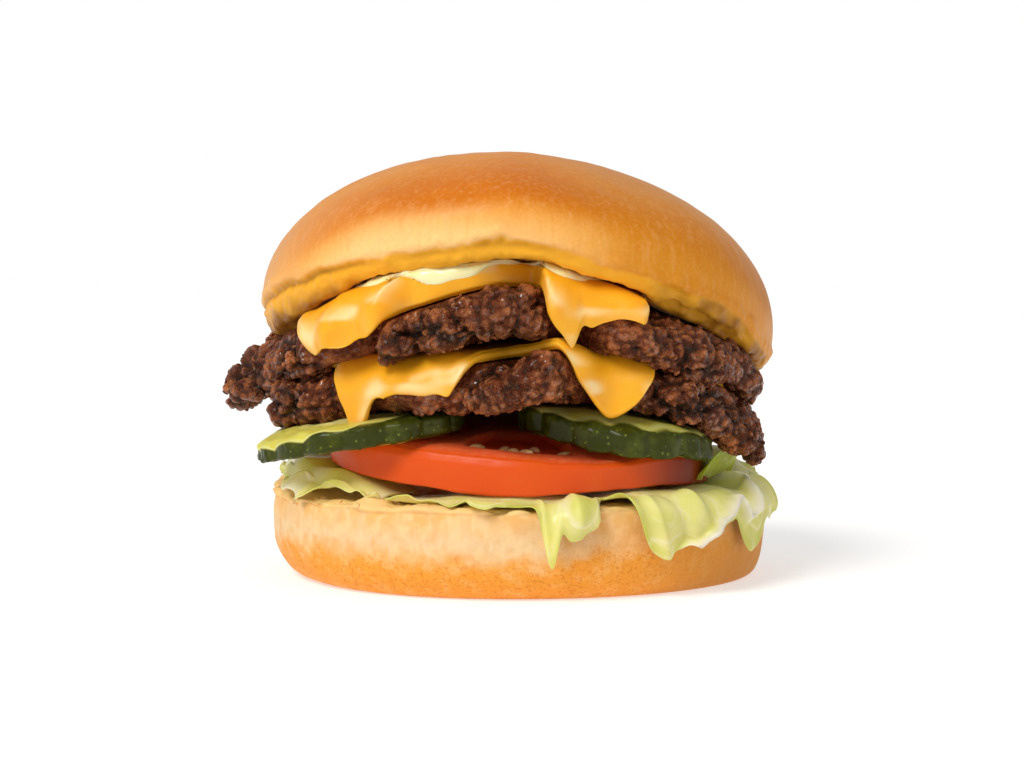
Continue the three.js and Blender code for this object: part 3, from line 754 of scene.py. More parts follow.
def scatter(name, host, tree, material_slot, **values):
    """Runs a tree over a finished piece and keeps what it made as a plain mesh."""
    piece = bpy.data.objects.new(name, host.data.copy())
    bpy.context.scene.collection.objects.link(piece)
    modifier = piece.modifiers.new(tree.name, "NODES")
    modifier.node_group = tree
    sockets = {item.name: item.identifier for item in tree.interface.items_tree if item.in_out == "INPUT"}
    for label, value in values.items():
        modifier[sockets[label.replace("_", " ")]] = value
    evaluated = piece.evaluated_get(bpy.context.evaluated_depsgraph_get())
    mesh = bpy.data.meshes.new_from_object(evaluated)
    mesh.name = name
    piece.modifiers.clear()
    piece.data = mesh
    hand_over(piece, material_slot)


GRANULES = lump_tree("beef_granules", BEEF, 1)
SEEDS = lump_tree("tomato_seeds", SEED, 2)
CRUMB_LUMPS = lump_tree("bread_crumbs", CRUMBS, 1)
print("scatter trees:", len(bpy.data.node_groups))

# %% [markdown]
# ## Bottom bun
# The heel stands on a flat base, swells to its cheek and ends in a cut face. Its formula follows an
# ellipse below and above the cheek. Its cut edge is torn: small pores and crumbs roughen it.

# %% Build the bottom bun
def heel_wobble(direction):
    """How far from round the bottom bun is."""
    return 0.5 * np.sin(np.radians(3 * direction + 40)) + 0.3 * np.sin(np.radians(5 * direction))


def heel_place(direction, way):
    """Points of the bottom bun: `level` is -1 at its base, 0 at its cheek and 1 at its cut face."""
    level = np.interp(way, [0.2, 0.32, 0.5, 0.72, 0.8], [1, 0.8, 0, -0.9, -1])
    share = np.interp(way, [0, 0.2, 0.8, 1], [0, 0.975, 1, 0])
    share = np.where((way > 0.2) & (way < 0.24), np.interp(way, [0.2, 0.24], [0.975, 1]), share)
    share = np.where((way >= 0.24) & (way <= 0.8), 1, share)
    foot = HEEL["base_radius"] + 4 * bell((direction + 12 + 540) % 360 - 180, 40)
    narrowing = 1 - np.sqrt(1 - level**2)
    target = np.where(level < 0, foot, HEEL["cut_radius"])
    out = share * (HEEL["radius"] + heel_wobble(direction) - narrowing * (HEEL["radius"] - target))
    half = np.where(level < 0, HEEL["cheek_height"], HEEL["height"] - HEEL["cheek_height"])
    return np.stack([*round_to(direction, out), HEEL["cheek_height"] + level * half], -1)


points, faces, direction, _ = slab(200, heel_place)
bottom_bun = new_piece("bottom_bun", points, faces, HEEL_CRUST)
x, y, z = points.T
on_side = smooth(z, 0, 1.5)
heel_rim = HEEL["cut_radius"] + heel_wobble(direction)
torn_line = 17.5 + 0.6 * soft_noise(points, 5, 3)
crumb = smooth(z - torn_line, -0.3, 0.3)
brown_line = 8.0 + 1.8 * soft_noise(points, (22, 22, 9), 4) + 2.0 * soft_noise(points, 4, 5)
brown_line += 1.6 * soft_noise(points, 1.6, 12)
brown = smooth(brown_line - z, -3, 3) + 0.2 * smooth(soft_noise(points, 9, 6), 0.2, 0.7)
# painted shade: the lower right side, away from the light, is painted browner
brown += 0.7 * smooth(x, 0, 30) * smooth(15 - z, -3, 5)
shade = 0.75 * smooth(x, 16, 46) * smooth(12 - z, -8, 8)
relief = on_side * (0.35 * soft_noise(points, 16, 8) + 0.15 * soft_noise(points, 3.5, 9))
pore, _ = pebbles(points, 2.4, 10)
at_rim = smooth(heel_rim - np.hypot(x, y), 6, 1)
relief += crumb * (0.6 * soft_noise(points, 3.4, 11) + 0.3 * soft_noise(points, 1.3, 14))
relief -= crumb * 0.3 * smooth(0.4 - pore, 0, 0.4)
relief += crumb * at_rim * smooth(-x, 4, 24) * (0.8 + 1.9 * soft_noise(points, 4.2, 15))
push_out(bottom_bun, relief)
mark(
    bottom_bun,
    crumb=crumb,
    brown=np.clip(brown, 0, 1) * (1 - crumb),
    shade=shade,
    pale=0.85 * bell(z - 11.5 - soft_noise(points, 9, 13), 3.6),
    scatter=crumb * at_rim * smooth(-x, 0, 24),
)
hand_over(bottom_bun, "bun_bottom_crust", "bun_bottom")
scatter(
    "bread_crumbs", bottom_bun, CRUMB_LUMPS, "bun_bottom_crust",
    Apart=0.0014, Per_square_metre=9e4, Seed=5,
    Least=(0.0002, 0.0002, 0.0002), Greatest=(0.0011, 0.0007, 0.0005),
)

# %% [markdown]
# ## Top bun
# The crown is a dome on a rolled edge, and its cut face lies on the upper cheese, so it droops to the right
# with the layer. Its edge turns from crust to crumb higher up at the left, where the cut shows, than at the
# right, with a groove along the torn line. The side is paler in front, where the next bun in the tin touched
# it, and partly as painted light from below. It is paler at the left as a painted highlight and browner at
# the right as painted shade. It has a shallow dent in front at the right.

# %% Build the top bun
LIP_DROOP = [(0, 3.5, 30), (180, 1.6, 30), (314, -2, 14), (262, 0.7, 30, 4)]
TORN_LINE = [(197, 6.2, 24), (225, 2.2, 20), (264, 2.4, 20), (325, 1.5, 26)]
CROWN_DENT = (18, -44, 78)


def crown_cut(x, y):
    """Height of the top bun's cut face, which lies on the upper cheese and droops past the filling."""
    on_cheese = layer_height(UPPER_LAYER, x, y) + PATTY_HALF + CHEESE_THICK + 3 * GAP
    direction, out = np.degrees(np.arctan2(y, x)) % 360, np.hypot(x, y)
    droop = lobes_at(LIP_DROOP, direction) * smooth(out, 44, 54)
    onto_beef = 3.2 * smooth(out - slice_reach(UPPER_LAYER, direction), 0, 5) * smooth(53 - out, 0, 4)
    onto_beef = onto_beef * (1 - lobes_at([(258, 1, 46, 8)], direction))
    return on_cheese + swells_at(UPPER_LAYER["puddles"], x, y) - droop - onto_beef


def crown_rim(direction):
    oval = 0.4 * np.sin(np.radians(2 * direction + 70))
    return CROWN["radius"] + oval + 0.5 * np.sin(np.radians(3 * direction))


def crown_place(direction, way):
    """Points of the top bun: dome, rolled edge and cut face, one after another along the way."""
    rise = np.radians(np.interp(way, [0, 0.36], [90, 0]))
    turn = np.radians(np.interp(way, [0.36, 0.5], [0, 90]))
    share = np.interp(way, [0.5, 0.62, 1], [1, 0.82, 0])
    rim = crown_rim(direction)
    lip_out = rim - CROWN["lip"]
    lip_height = crown_cut(*round_to(direction, lip_out))
    out = np.where(way < 0.36, rim * np.cos(rise), (lip_out + CROWN["lip"] * np.cos(turn)) * share)
    x, y = round_to(direction, out)
    widest = lip_height + CROWN["cheek"]
    dome = widest + (CROWN["apex"] + CROWN["apex_lean"] * x - widest) * np.sin(rise)
    cheek = lip_height + CROWN["cheek"] * (1 - np.sin(turn))
    height = np.where(way < 0.36, dome, np.where(way < 0.5, cheek, crown_cut(x, y)))
    return np.stack([x, y, height], -1)


points, faces, direction, way = slab(222, crown_place)
top_bun = new_piece("top_bun", points, faces, TOP_CRUST)
x, _, z = points.T
over_lip = z - crown_cut(*round_to(direction, crown_rim(direction) - CROWN["lip"]))
torn = 0.5 * soft_noise(points, 4, 21) + 0.35 * soft_noise(points, 1.6, 22)
torn_height = 1.5 + lobes_at(TORN_LINE, direction) + torn
crumb = np.maximum(smooth(torn_height - over_lip, -0.5, 0.6), way > 0.5)
# the oven's colour, with painted shade: darkest on the upper side, lighter on the top, where more light
# falls
baked = smooth(over_lip, 6, 14) * (1 - 0.55 * smooth(over_lip, 16, 24))
# the pale front band: the crust's own paler colour, and partly painted light from below
pale_high = 13 + 3 * soft_noise(points, 18, 23)
pale = 0.9 * smooth(pale_high - over_lip, 0, 9) * lobes_at([(250, 1, 33, 4)], direction)
# painted highlight: the left side, which faces the light, is paler
pale += 0.55 * lobes_at([(185, 1, 38)], direction) * smooth(28 - over_lip, 0, 14)
# painted shade: the right side, away from the light, is browner
brown = 0.7 * lobes_at([(320, 1, 55, 4)], direction) * smooth(x, -4, 28)
# painted shade on the crumb under the edge, deeper on the right, away from the light
below = 0.85 * smooth(torn_height - over_lip, 2.5, 7) + 0.65 * smooth(x, 20, 42)
dent = -1.1 * bell(np.linalg.norm(points - CROWN_DENT, axis=1), 13)
relief = 0.55 * soft_noise(points, 24, 24) + 0.1 * soft_noise(points, (3, 3, 9), 25) + dent
relief += 0.5 * bell(over_lip - torn_height - 1.0, 1.1) * (1 + torn)
relief += crumb * (0.5 * soft_noise(points, 3.2, 26) + 0.2 * soft_noise(points, 1.1, 27))
groove = bell(over_lip - torn_height + 1.1, 0.8) * smooth(torn_height, 2.6, 5.5) * (way < 0.5)
relief -= 0.8 * groove
relief += 0.9 * crumb * soft_noise(points, 4, 29) * smooth(x, 10, 30)
push_out(top_bun, np.where(way < 0.52, relief, 0))
patchy = 1 + 0.7 * soft_noise(points, 3.2, 28)
mark(
    top_bun,
    crumb=crumb,
    pale=np.clip(pale, 0, 1),
    baked=baked,
    brown=np.clip(brown, 0, 1),
    # painted shade under the edge, on the right and along the groove
    shade=crumb * np.clip(below * patchy + 0.5 * groove, 0, 0.95),
)
hand_over(top_bun, "bun_top_crust", "bun_top")

# %% [markdown]
# ## Patties
# A patty is a slab with a round, lobed edge that sags over what lies below it. Where no cheese covers
# it, the beef stands out in lumps of four sizes, with dark folds between them: heaps of pebbles, pushed
# out of the slab. Under the cheese it stays smooth, because nothing of it shows there.

# %% Build the patties
PATTY_BEND = [0.37, 0.63]  # the ways between which a patty's edge is rounded


def patty_place(layer, rest_at):
    def place(direction, way):
        flat = np.interp(way, [0, 0.2, *PATTY_BEND, 0.8, 1], [0, 0.72, 1, 1, 0.72, 0])
        bend = np.radians(np.interp(way, PATTY_BEND, [90, -90]))
        half = PATTY_HALF + lobes_at(layer["plump"], direction) * smooth(flat, 0.8, 1)
        out = flat * (patty_radius(layer, direction) - PATTY_HALF) + half * np.cos(bend)
        x, y = round_to(direction, out)
        height = layer_height(layer, x, y) + half * np.sin(bend)
        return np.stack([x, y, np.where(way > 0.5, np.maximum(height, rest_at(x, y)), height)], -1)

    return place


def beef_relief(points, bare, seed):
    """How far the beef stands out, how deep in a fold each point lies and how high on a lump."""
    stretched = points + 1.6 * np.stack([soft_noise(points, 6, seed + k) for k in range(3)], -1)
    lump, next_lump = pebbles(stretched, (9.5, 9.5, 6.5), seed + 3)
    knob, next_knob = pebbles(stretched, 4.6, seed + 6)
    bead, _ = pebbles(points + 0.5 * soft_noise(points, 1.5, seed + 27)[:, None], 1.7, seed + 9)
    grit, _ = pebbles(points, 1.15, seed + 12)
    cracked = smooth(soft_noise(points, 10, seed + 15), -0.5, 0.2)
    fold = bell(next_lump - lump, 0.15) * cracked
    small_fold = bell(next_knob - knob, 0.13)
    relief = 1.35 * (1 - lump**2) + 0.45 * (0.6 - knob**2) + 0.95 * (0.45 - bead) + 0.4 * (0.45 - grit)
    relief += 1.1 * soft_noise(points, 12, seed + 18) - 1.8 * fold - 0.4 * small_fold - 0.35
    # painted shade: how dark a point is painted, deepest in folds and between beads
    pit = np.clip(0.95 * fold + 0.5 * small_fold + 1.8 * (bead - 0.56), 0, 1)
    # painted highlight: how much lighter a point is painted, most on the tops of lumps and beads
    high = smooth(0.95 - 0.6 * knob - 0.9 * bead - 0.3 * lump, -0.1, 0.6)
    return relief * bare, pit * bare, high


def build_patty(name, layer, rest_at, seed):
    points, faces, direction, way = slab(220, patty_place(layer, rest_at))
    patty = new_piece(name, points, faces, BEEF)
    flat_edge = patty_radius(layer, direction) - PATTY_HALF
    along = np.hypot(points[:, 0], points[:, 1])
    round_edge = PATTY_HALF * np.radians(90 - np.interp(way, PATTY_BEND, [90, -90]))
    surface_out = np.where(way < PATTY_BEND[0], along, flat_edge + round_edge)
    bare = smooth(surface_out - slice_reach(layer, direction), 0.2, 2.4)
    bare *= 1 - 0.85 * smooth(flat_edge - along, 4, 14)
    resting = points[:, 2] < rest_at(points[:, 0], points[:, 1]) + 0.6
    bare = np.where((way > 0.5) & resting, 0.25 * bare, bare)
    relief, pit, high = beef_relief(points, bare, seed)
    push_out(patty, relief)
    crumbly = smooth(soft_noise(points, 6, seed + 24), -0.2, 0.4)
    crumbly = crumbly * smooth(bare, 0.5, 0.9) * (1 - smooth(pit, 0.2, 0.6))
    under = 0.6 * smooth(way, 0.52, 0.6) * smooth(soft_noise(points, 6, seed + 21), -0.2, 0.5)
    # pit carries painted shade for the folds, high painted highlight for the lumps
    mark(patty, pit=0.9 * pit, high=high, scatter=crumbly, under=under)
    return patty


lower_patty = build_patty("lower_patty", LOWER_LAYER, lambda x, y: np.zeros_like(x), 31)
upper_patty = build_patty("upper_patty", UPPER_LAYER, lambda x, y: layer_top(LOWER_LAYER, x, y) + GAP, 61)
hand_over(lower_patty, "beef", "patty_lower")
hand_over(upper_patty, "beef", "patty_upper")
for seed, patty in enumerate((lower_patty, upper_patty)):
    scatter(
        f"{patty.name}_granules", patty, GRANULES, "beef",
        Apart=0.0011, Per_square_metre=2e6, Seed=seed,
        Least=(0.0003, 0.0003, 0.0002), Greatest=(0.0009, 0.0007, 0.0005),
    )

# %% [markdown]
# ## Cheese slices
# A square slice, laid on a hot patty, sags over its edge and runs down where it is warmest. Its formula
# rolls a soft sheet over an edge and lets the rest hang. That edge is drawn smoother than the patty's
# own, because a slice spans narrow notches. A run ends in a round bead, and the lumps below show
# through as soft swells.

# %% Build the cheese slices
def roll_over(edge, bend, length):
    """A sheet flat to `edge`, rolled over it, then hanging: distance out, rise and turn."""
    turned = np.clip((length - edge) / bend, 0, math.pi / 2)
    hanging = np.clip(length - edge - bend * math.pi / 2, 0, None)
    return np.minimum(length, edge) + bend * np.sin(turned), bend * np.cos(turned) - hanging, turned


def draped_edge(layer, direction):
    """The edge that a slice hangs over, and how far it lies outside the patty's own."""
    own = patty_radius(layer, direction) + lobes_at(layer["bridges"], direction)
    steps = range(-12, 15, 3)
    around = layer["slack"] + np.mean([patty_radius(layer, direction + step) for step in steps], axis=0)
    bridging = np.logaddexp(own, around)
    return bridging - PATTY_HALF, bridging - own


def cheese_place(layer):
    lift = GAP + CHEESE_THICK / 2

    def place(direction, way):
        flat = np.interp(way, [0, 0.12, 0.22, 0.78, 0.88, 1], [0, 0.7, 1, 1, 0.7, 0])
        rolled = np.interp(way, [0.22, 0.455, 0.545, 0.78], [0, 1, 1, 0])
        tip = np.radians(np.interp(way, [0.455, 0.545], [90, -90]))
        half = CHEESE_THICK / 2 * (1 - 0.4 * smooth(rolled, 0.5, 1))
        edge, bridged = draped_edge(layer, direction)
        reach = slice_reach(layer, direction) + bridged - CHEESE_THICK / 2
        lying = np.minimum(edge, reach - 1.5)
        length = flat * lying + rolled * (reach - lying) + half * np.cos(tip)
        out, up, turned = roll_over(edge, PATTY_HALF + lift, length)
        side = np.sin(tip)
        x, y = round_to(direction, out + side * half * np.sin(turned))
        pooled = np.clip(side, 0, None) * swells_at(layer["puddles"], x, y)
        height = layer_height(layer, x, y) + up + side * half * np.cos(turned) + pooled
        return np.stack([x, y, height], -1)

    return place


def cheese_swells(points, way, seed):
    """How the lumps below show through a slice's outer face."""
    outside = smooth(way, 0.1, 0.25) * smooth(0.56 - way, 0, 0.05)
    return outside * (0.45 * soft_noise(points, 7, seed) + 0.25 * soft_noise(points, 3.2, seed + 1))


def build_cheese(name, layer, seed):
    points, faces, _, way = slab(210, cheese_place(layer))
    cheese = new_piece(name, points, faces, CHEESE)
    push_out(cheese, cheese_swells(points, way, seed))
    # painted highlight: a pale sheen along the rolled edge, broken up by noise
    fat = bell(way - 0.43, 0.05) * smooth(soft_noise(points, (7, 7, 3), seed + 2), -0.1, 0.5)
    mark(cheese, fat=0.75 * fat)
    return cheese


lower_cheese = build_cheese("lower_cheese", LOWER_LAYER, 91)
UPPER_CHEESE_SEED = 95  # the sauce follows this slice's swells
upper_cheese = build_cheese("upper_cheese", UPPER_LAYER, UPPER_CHEESE_SEED)
hand_over(lower_cheese, "cheese", "cheese_lower")
hand_over(upper_cheese, "cheese", "cheese_upper")

# %% [markdown]
# ## Sauce
# A little sauce was spread under the top bun. It squeezes out as a thin line below the bun's edge, with
# two smears that run down over the cheese. It follows the cheese: the same surface, sunk a little below
# it, comes out in front of it only where there is sauce. The rest of it is deleted, which leaves an
# open patch, whose edge lies inside the slice.

# %% Build the sauce
SMEARS = [(255, 4.4, 6.5, 2.5), (281, 1.4, 5), (238, 0.8, 8)]
points, faces, direction, way = slab(170, cheese_place(UPPER_LAYER))
sauce = new_piece("sauce", points, faces, SAUCE)
below_lip = crown_cut(*round_to(direction, crown_rim(direction) - CROWN["lip"])) - points[:, 2]
spread = smooth(0.9 + lobes_at(SMEARS, direction) + 0.7 * soft_noise(points, 4, 151) - below_lip, 0, 1.3)
spread *= lobes_at([(262, 1, 36, 6)], direction) * smooth(way, 0.1, 0.2) * smooth(0.5 - way, 0, 0.03)
in_front = (1.0 + 0.2 * soft_noise(points, 2.5, 152)) * spread
push_out(sauce, cheese_swells(points, way, UPPER_CHEESE_SEED) - 0.5 + in_front)
work = bmesh.new()
work.from_mesh(sauce.data)
work.verts.ensure_lookup_table()
dry = [vertex for vertex, wet in zip(work.verts, spread) if wet <= 0]
bmesh.ops.delete(work, geom=dry, context="VERTS")
work.to_mesh(sauce.data)
work.free()
hand_over(sauce, "cheese")

# %% [markdown]
# ## Tomato
# A thick slice of a beefsteak tomato leans back on the lettuce. Its skin rounds the rim, and its seed
# pockets are sunk in the cut face between walls of flesh.

# %% Build the tomato
def tomato_rest(x, y):
    """Height of the tomato's underside: it leans back and droops to the front and the right."""
    droop = 1.1 * np.clip((-30 - y) / 21, 0, None) ** 2 + 4.6 * np.clip((x - 10) / 30, 0, None) ** 2
    return HEEL["height"] + 6.6 + 0.08 * (y - TOMATO["centre"][1]) + 1.2 * (x / 40) ** 2 - droop


def tomato_pocket(direction, share):
    """1 in a seed pocket, 0 in the walls of flesh."""
    wall = np.abs(np.sin(np.radians(TOMATO["pockets"] * (direction - 60) / 2)))
    return smooth(smooth(wall, 0.3, 0.6) * bell(share - 0.58, 0.24), 0.2, 0.8)


def tomato_place(direction, way):
    share = np.interp(way, [0, 0.42, 0.47, 0.545, 0.58, 1], [0, 0.965, 1, 1, 0.98, 0])
    side = np.interp(way, [0.4, 0.45, 0.545, 0.58], [1, 0.8, -0.9, -1])
    full = TOMATO["radius"] + 0.7 * np.cos(np.radians(5 * direction + 30))
    x, y = round_to(direction, share * full)
    x, y = x + TOMATO["centre"][0], y + TOMATO["centre"][1]
    sunk = TOMATO["pocket_depth"] * tomato_pocket(direction, share) * (way < 0.4)
    sunk += np.clip(side, 0, None) * swells_at([TOMATO_DENT], x, y)
    return np.stack([x, y, tomato_rest(x, y) + TOMATO["thick"] / 2 * (1 + side) - sunk], -1)


points, faces, direction, way = slab(190, tomato_place)
tomato_slice = new_piece("tomato_slice", points, faces, TOMATO_FLESH)
share = np.interp(way, [0, 0.42, 0.5], [0, 0.965, 1])
gel = tomato_pocket(direction, share) * (way < 0.4)
swell = 0.3 * soft_noise(points, 9, 101) + 0.12 * soft_noise(points, 3, 103)
push_out(tomato_slice, swell + 0.12 * gel * soft_noise(points, 1.6, 102))
mark(
    tomato_slice,
    skin=smooth(way, 0.41, 0.44) * smooth(0.59 - way, 0, 0.03),
    gel=gel,
    shade=0.8 * smooth(points[:, 0], 22, 37) * smooth(-points[:, 1], 0, 15),
    scatter=smooth(gel, 0.2, 0.6) * bell(share - 0.7, 0.07),
)
hand_over(tomato_slice, "tomato", "tomato")
scatter(
    "tomato_seeds", tomato_slice, SEEDS, "tomato",
    Apart=0.0034, Per_square_metre=1.2e5, Seed=3,
    Least=(0.0016, 0.0009, 0.0007), Greatest=(0.0021, 0.0012, 0.0011),
)

# %% [markdown]
# ## Pickles
# Two slant-cut slices lie on the tomato, with their ribbed skin to the front. The skin wraps the rim;
# the cut faces are softer and sink a little towards the seeded middle.

# %% Build the pickles
PICKLES = {
    "left": {
        "thick": 4.8, "middle": (-32.7, -28, 35.8), "half": (22, 17), "turn": -30, "slope": (0.34, 0.1),
        "droop": 0.0025,
    },
    "right": {
        "thick": 6, "middle": (20.2, -28.7, 37.4), "half": (19, 17.5), "turn": 0, "slope": (-0.14, 0.26),
        "droop": 0.006,
    },
}
# Where the skin begins on a slice's profile: places along x from its middle, and the ways there.
SKIN_EDGES = {
    "left": ((-22, -10, 4, 14), (0.51, 0.47, 0.37, 0.24)),
    "right": ((-16, -8, 0, 8, 16), (0.43, 0.4, 0.35, 0.39, 0.41)),
}


def scallop_at(direction):
    """0 between two ribs of a pickle's skin, 1 on a rib."""
    return np.abs(np.sin(np.radians(PICKLE["ribs"] * direction / 2)))


def pickle_place(thick, middle, half, turn, slope, droop):
    def place(direction, way):
        share = np.interp(way, [0, 0.36, 0.43, 0.57, 0.64, 1], [0, 0.95, 1, 1, 0.95, 0])
        side = np.interp(way, [0.34, 0.41, 0.59, 0.66], [1, 0.75, -0.75, -1])
        rib = PICKLE["rib_height"] * scallop_at(direction) * smooth(share, 0.85, 1)
        along = share * (half[0] + rib) * np.cos(np.radians(direction))
        aside = share * (half[1] + rib) * np.sin(np.radians(direction))
        cos, sin = math.cos(math.radians(turn)), math.sin(math.radians(turn))
        dx, dy = along * cos - aside * sin, along * sin + aside * cos
        x, y = middle[0] + dx, middle[1] + dy
        leaning = middle[2] + slope[0] * dx + slope[1] * dy - droop * (along**2 + aside**2)
        pressed = layer_height(LOWER_LAYER, x, y) - PATTY_HALF - thick / 2 - 2 * GAP
        return np.stack([x, y, np.minimum(leaning, pressed) + side * thick / 2], -1)

    return place


def build_pickle(name, spec, seed, skin_edge):
    points, faces, direction, way = slab(150, pickle_place(**spec))
    pickle = new_piece(name, points, faces, PICKLE_FLESH)
    upper_edge = np.interp(points[:, 0] - spec["middle"][0], *skin_edge)
    upper_edge -= scallop_at(direction) * np.interp(upper_edge, (0.36, 0.48), (0.03, 0.07))
    rim = smooth(way - upper_edge, -0.01, 0.01) * smooth(0.66 - way, 0, 0.02)
    wart, _ = pebbles(points, 2.3, seed)
    relief = rim * (0.22 * smooth(0.42 - wart, 0, 0.3) + 0.3 * soft_noise(points, 4, seed + 4))
    relief += (1 - rim) * 0.25 * soft_noise(points, 2.6, seed + 5)
    push_out(pickle, relief)
    mark(
        pickle,
        skin=rim,
        line=0.8 * bell(way - upper_edge + 0.016, 0.012),
        heart=smooth(0.3 - way, 0, 0.12),
        shade=0.55 * smooth(points[:, 0], -10, 10),
    )
    return pickle


for side, seed in (("left", 111), ("right", 121)):
    pickle_slice = build_pickle(f"{side}_pickle_slice", PICKLES[side], seed, SKIN_EDGES[side])
    hand_over(pickle_slice, "pickle", f"pickle_{side}")

# %% [markdown]
# ## Lettuce
# The leaves are thin sheets on the bottom bun whose rims roll over its edge and frill. Folds run
# outwards and deepen to the rim, as in a leaf that grew faster at its edge than in its middle. A leaf
# lies between the two directions of its "span" and reaches out from "inner" by its "length". "frill"
# and "waves" are the height and the number of its ripples, and "crumple" is the depth of its folds.
# "above" and "rise" are for a leaf that lies on others.

# %% Build the lettuce
LEAVES = {
    "left": {
        "span": (168, 238), "inner": 38, "length": 14.5, "frill": 1, "green": 0.05, "waves": 4.5,
        "lobes": [(190, -3.5, 9), (216, 2, 7)], "crumple": 1.9, "fall": 3.4,
        "ribs": [(190, 186, 3), (214, 210, 3.5)], "lift": [(182, 6.2, 10), (200, 6, 12), (222, 5, 13)],
        "creases": [(176, 182, 1.2, 2), (196, 192, 1.6, 2.4), (212, 205, 1.8, 2), (228, 222, 1.2, 2.2)],
    },
    "front": {
        "span": (240, 288.5), "inner": 39, "length": 15, "frill": 0.6, "waves": 3.5,
        "lobes": [(276.5, 12, 1.8, 2.2), (283, 7.5, 4.2, 6)], "lift": [(268, 2.1, 17)], "fall": 3.2,
        "curls": [(283.5, 1.8, 3.8)], "creases": [(281, 282, 0.9, 1), (274.5, 276, 0.8, 0.8)],
    },
    "right": {
        "span": (289, 356), "inner": 39, "length": 16, "frill": 0.5, "waves": 4,
        "lobes": [(299.5, 11, 5), (308, 6, 5), (317, 3, 8), (330, 8, 4.6, 4), (342, 5, 7)],
        "lift": [(300, 1.8, 12), (322, 1.8, 10), (349, 3.2, 8)],
        "creases": [
            (345, 308, 2.3, 2.8), (298, 301, 0.9, 1.3), (304, 308, -0.9, 1.8), (309, 313, 1.3, 1.8),
            (330, 326, -0.7, 3),
        ],
        "ribs": [(345, 308, 2.8)],
    },
    "inner": {
        "span": (324, 359), "inner": 43, "length": 7, "frill": 0.6, "waves": 2.5,
        "lobes": [(342, 2, 7)], "lift": [], "above": 2.4, "rise": 8.5, "green": 0.8,
    },
    "back_right": {
        "span": (0, 80), "inner": 38, "length": 15.5, "frill": 1.2, "waves": 4.5,
        "lobes": [(22, 8, 8, 4), (55, 5, 10)], "lift": [(14, 5, 12), (36, 7.5, 16), (66, 6, 12)],
    },
    "back_left": {
        "span": (84, 163), "inner": 38, "length": 15.5, "frill": 1.2, "waves": 4.5,
        "lobes": [(104, 9, 8, 4), (140, 5, 10)], "lift": [(100, 6, 12), (122, 7, 14), (150, 5.5, 12)],
    },
}
ROLL_RADIUS = 2.6
KNEE = 0.2  # the share of a leaf, from its inner edge, that lies before its bend
ARC_RADIUS = 53  # where the length along a leaf's span is measured
print("leaves:", ", ".join(LEAVES))

# %% [markdown]
# Creases and ribs run from a direction at the knee, where the leaf bends down, to another at its rim.
# They are (direction at the knee, direction at the rim, rise, half-width), and a rib has no rise.
# "lift" raises a leaf off the bun, "curls" turn its rim up, and "fall" says how soon a lift ends.

# %% A leaf's surface
def across_leaf(leaf, u):
    """Direction in degrees at u along a leaf's span, and how far along the span that is."""
    start, end = leaf["span"]
    return start + (end - start) * u, u * (np.radians(end - start) * ARC_RADIUS)


def beside(direction, v, at_knee, at_rim):
    """Degrees from a line that runs from one direction at the knee to another at the rim."""
    down = np.clip((v - KNEE) / (1 - KNEE), 0, 1)
    return direction - at_knee - (at_rim - at_knee) * down


def leaf_middle(leaf, u, v):
    """The middle surface of a leaf at u along its span and v from its inner edge to its rim."""
    lying = "above" in leaf
    direction, sideways = across_leaf(leaf, u)
    edge = HEEL["cut_radius"] - 1 + heel_wobble(direction)
    tapered = np.sin(np.pi * (0.05 + 0.9 * u)) ** 0.3
    ragged = 0.6 * soft_noise(np.stack([sideways, 0 * u, 0 * u], -1), 2.4, 133)
    reach = leaf["inner"] + leaf["length"] * tapered + lobes_at(leaf["lobes"], direction) + ragged
    rim = reach if lying else np.maximum(reach, edge + 0.5)
    knee = leaf["inner"] + KNEE * (rim - leaf["inner"]) if lying else edge - 1
    near = leaf["inner"] + (knee - leaf["inner"]) * v / KNEE
    along = np.where(v < KNEE, near, knee + (rim - knee) * (v - KNEE) / (1 - KNEE))
    out, up, turned = roll_over(edge, ROLL_RADIUS, along)
    ripple = leaf["frill"] * smooth(along, 43, 56) * (
        0.5 + 0.5 * np.sin(2 * np.pi * leaf["waves"] * u + 4 * v)
    )
    sinking = bell(np.clip(along - 48, 0, None), leaf.get("fall", 5))
    raised = lobes_at(leaf["lift"], direction) * sinking * np.cos(turned)
    stacked = leaf["above"] + leaf["rise"] * v**1.5 * np.sin(np.pi * u) ** 0.6 if lying else 0
    place = np.stack([sideways, along, np.zeros_like(u)], -1)
    folds = 0.5 * soft_noise(place, (5, 16, 9), 131) + 0.5 * soft_noise(place, (2.6, 9, 9), 132)
    folds = leaf.get("crumple", 1.5) * (folds + 0.25) * smooth(v, 0.1, 0.9)
    curl = lobes_at(leaf.get("curls", []), direction) * bell(v - 0.62, 0.3)
    for at_knee, at_rim, rise, half_width in leaf.get("creases", []):
        crease = bell(beside(direction, v, at_knee, at_rim), half_width, 1.6)
        curl = curl + rise * crease * smooth(v, 0.1, 0.4)
    off = ripple + LEAF_THICK / 2 + 0.3 + 0.9 * turned + np.clip(folds, -0.2, None) + curl
    far = out + off * np.sin(turned) + 0.35 * ripple
    height = HEEL["height"] - ROLL_RADIUS + up + off * np.cos(turned) + raised + stacked
    return np.stack([*round_to(direction, far), height], -1)


knee_place = leaf_middle(LEAVES["front"], *np.full((2, 1), KNEE))[0]
print("a place at the front leaf's knee, mm:", knee_place.round(1))

# %% [markdown]
# A sheet of grid cells on each side of the middle surface, and a strip of cells round their border,
# close the leaf. It thins towards its rim.

# %% Build the leaves
def close_outward(piece):
    """Turns every face of a closed mesh outward."""
    work = bmesh.new()
    work.from_mesh(piece.data)
    bmesh.ops.recalc_face_normals(work, faces=work.faces)
    work.to_mesh(piece.data)
    work.free()


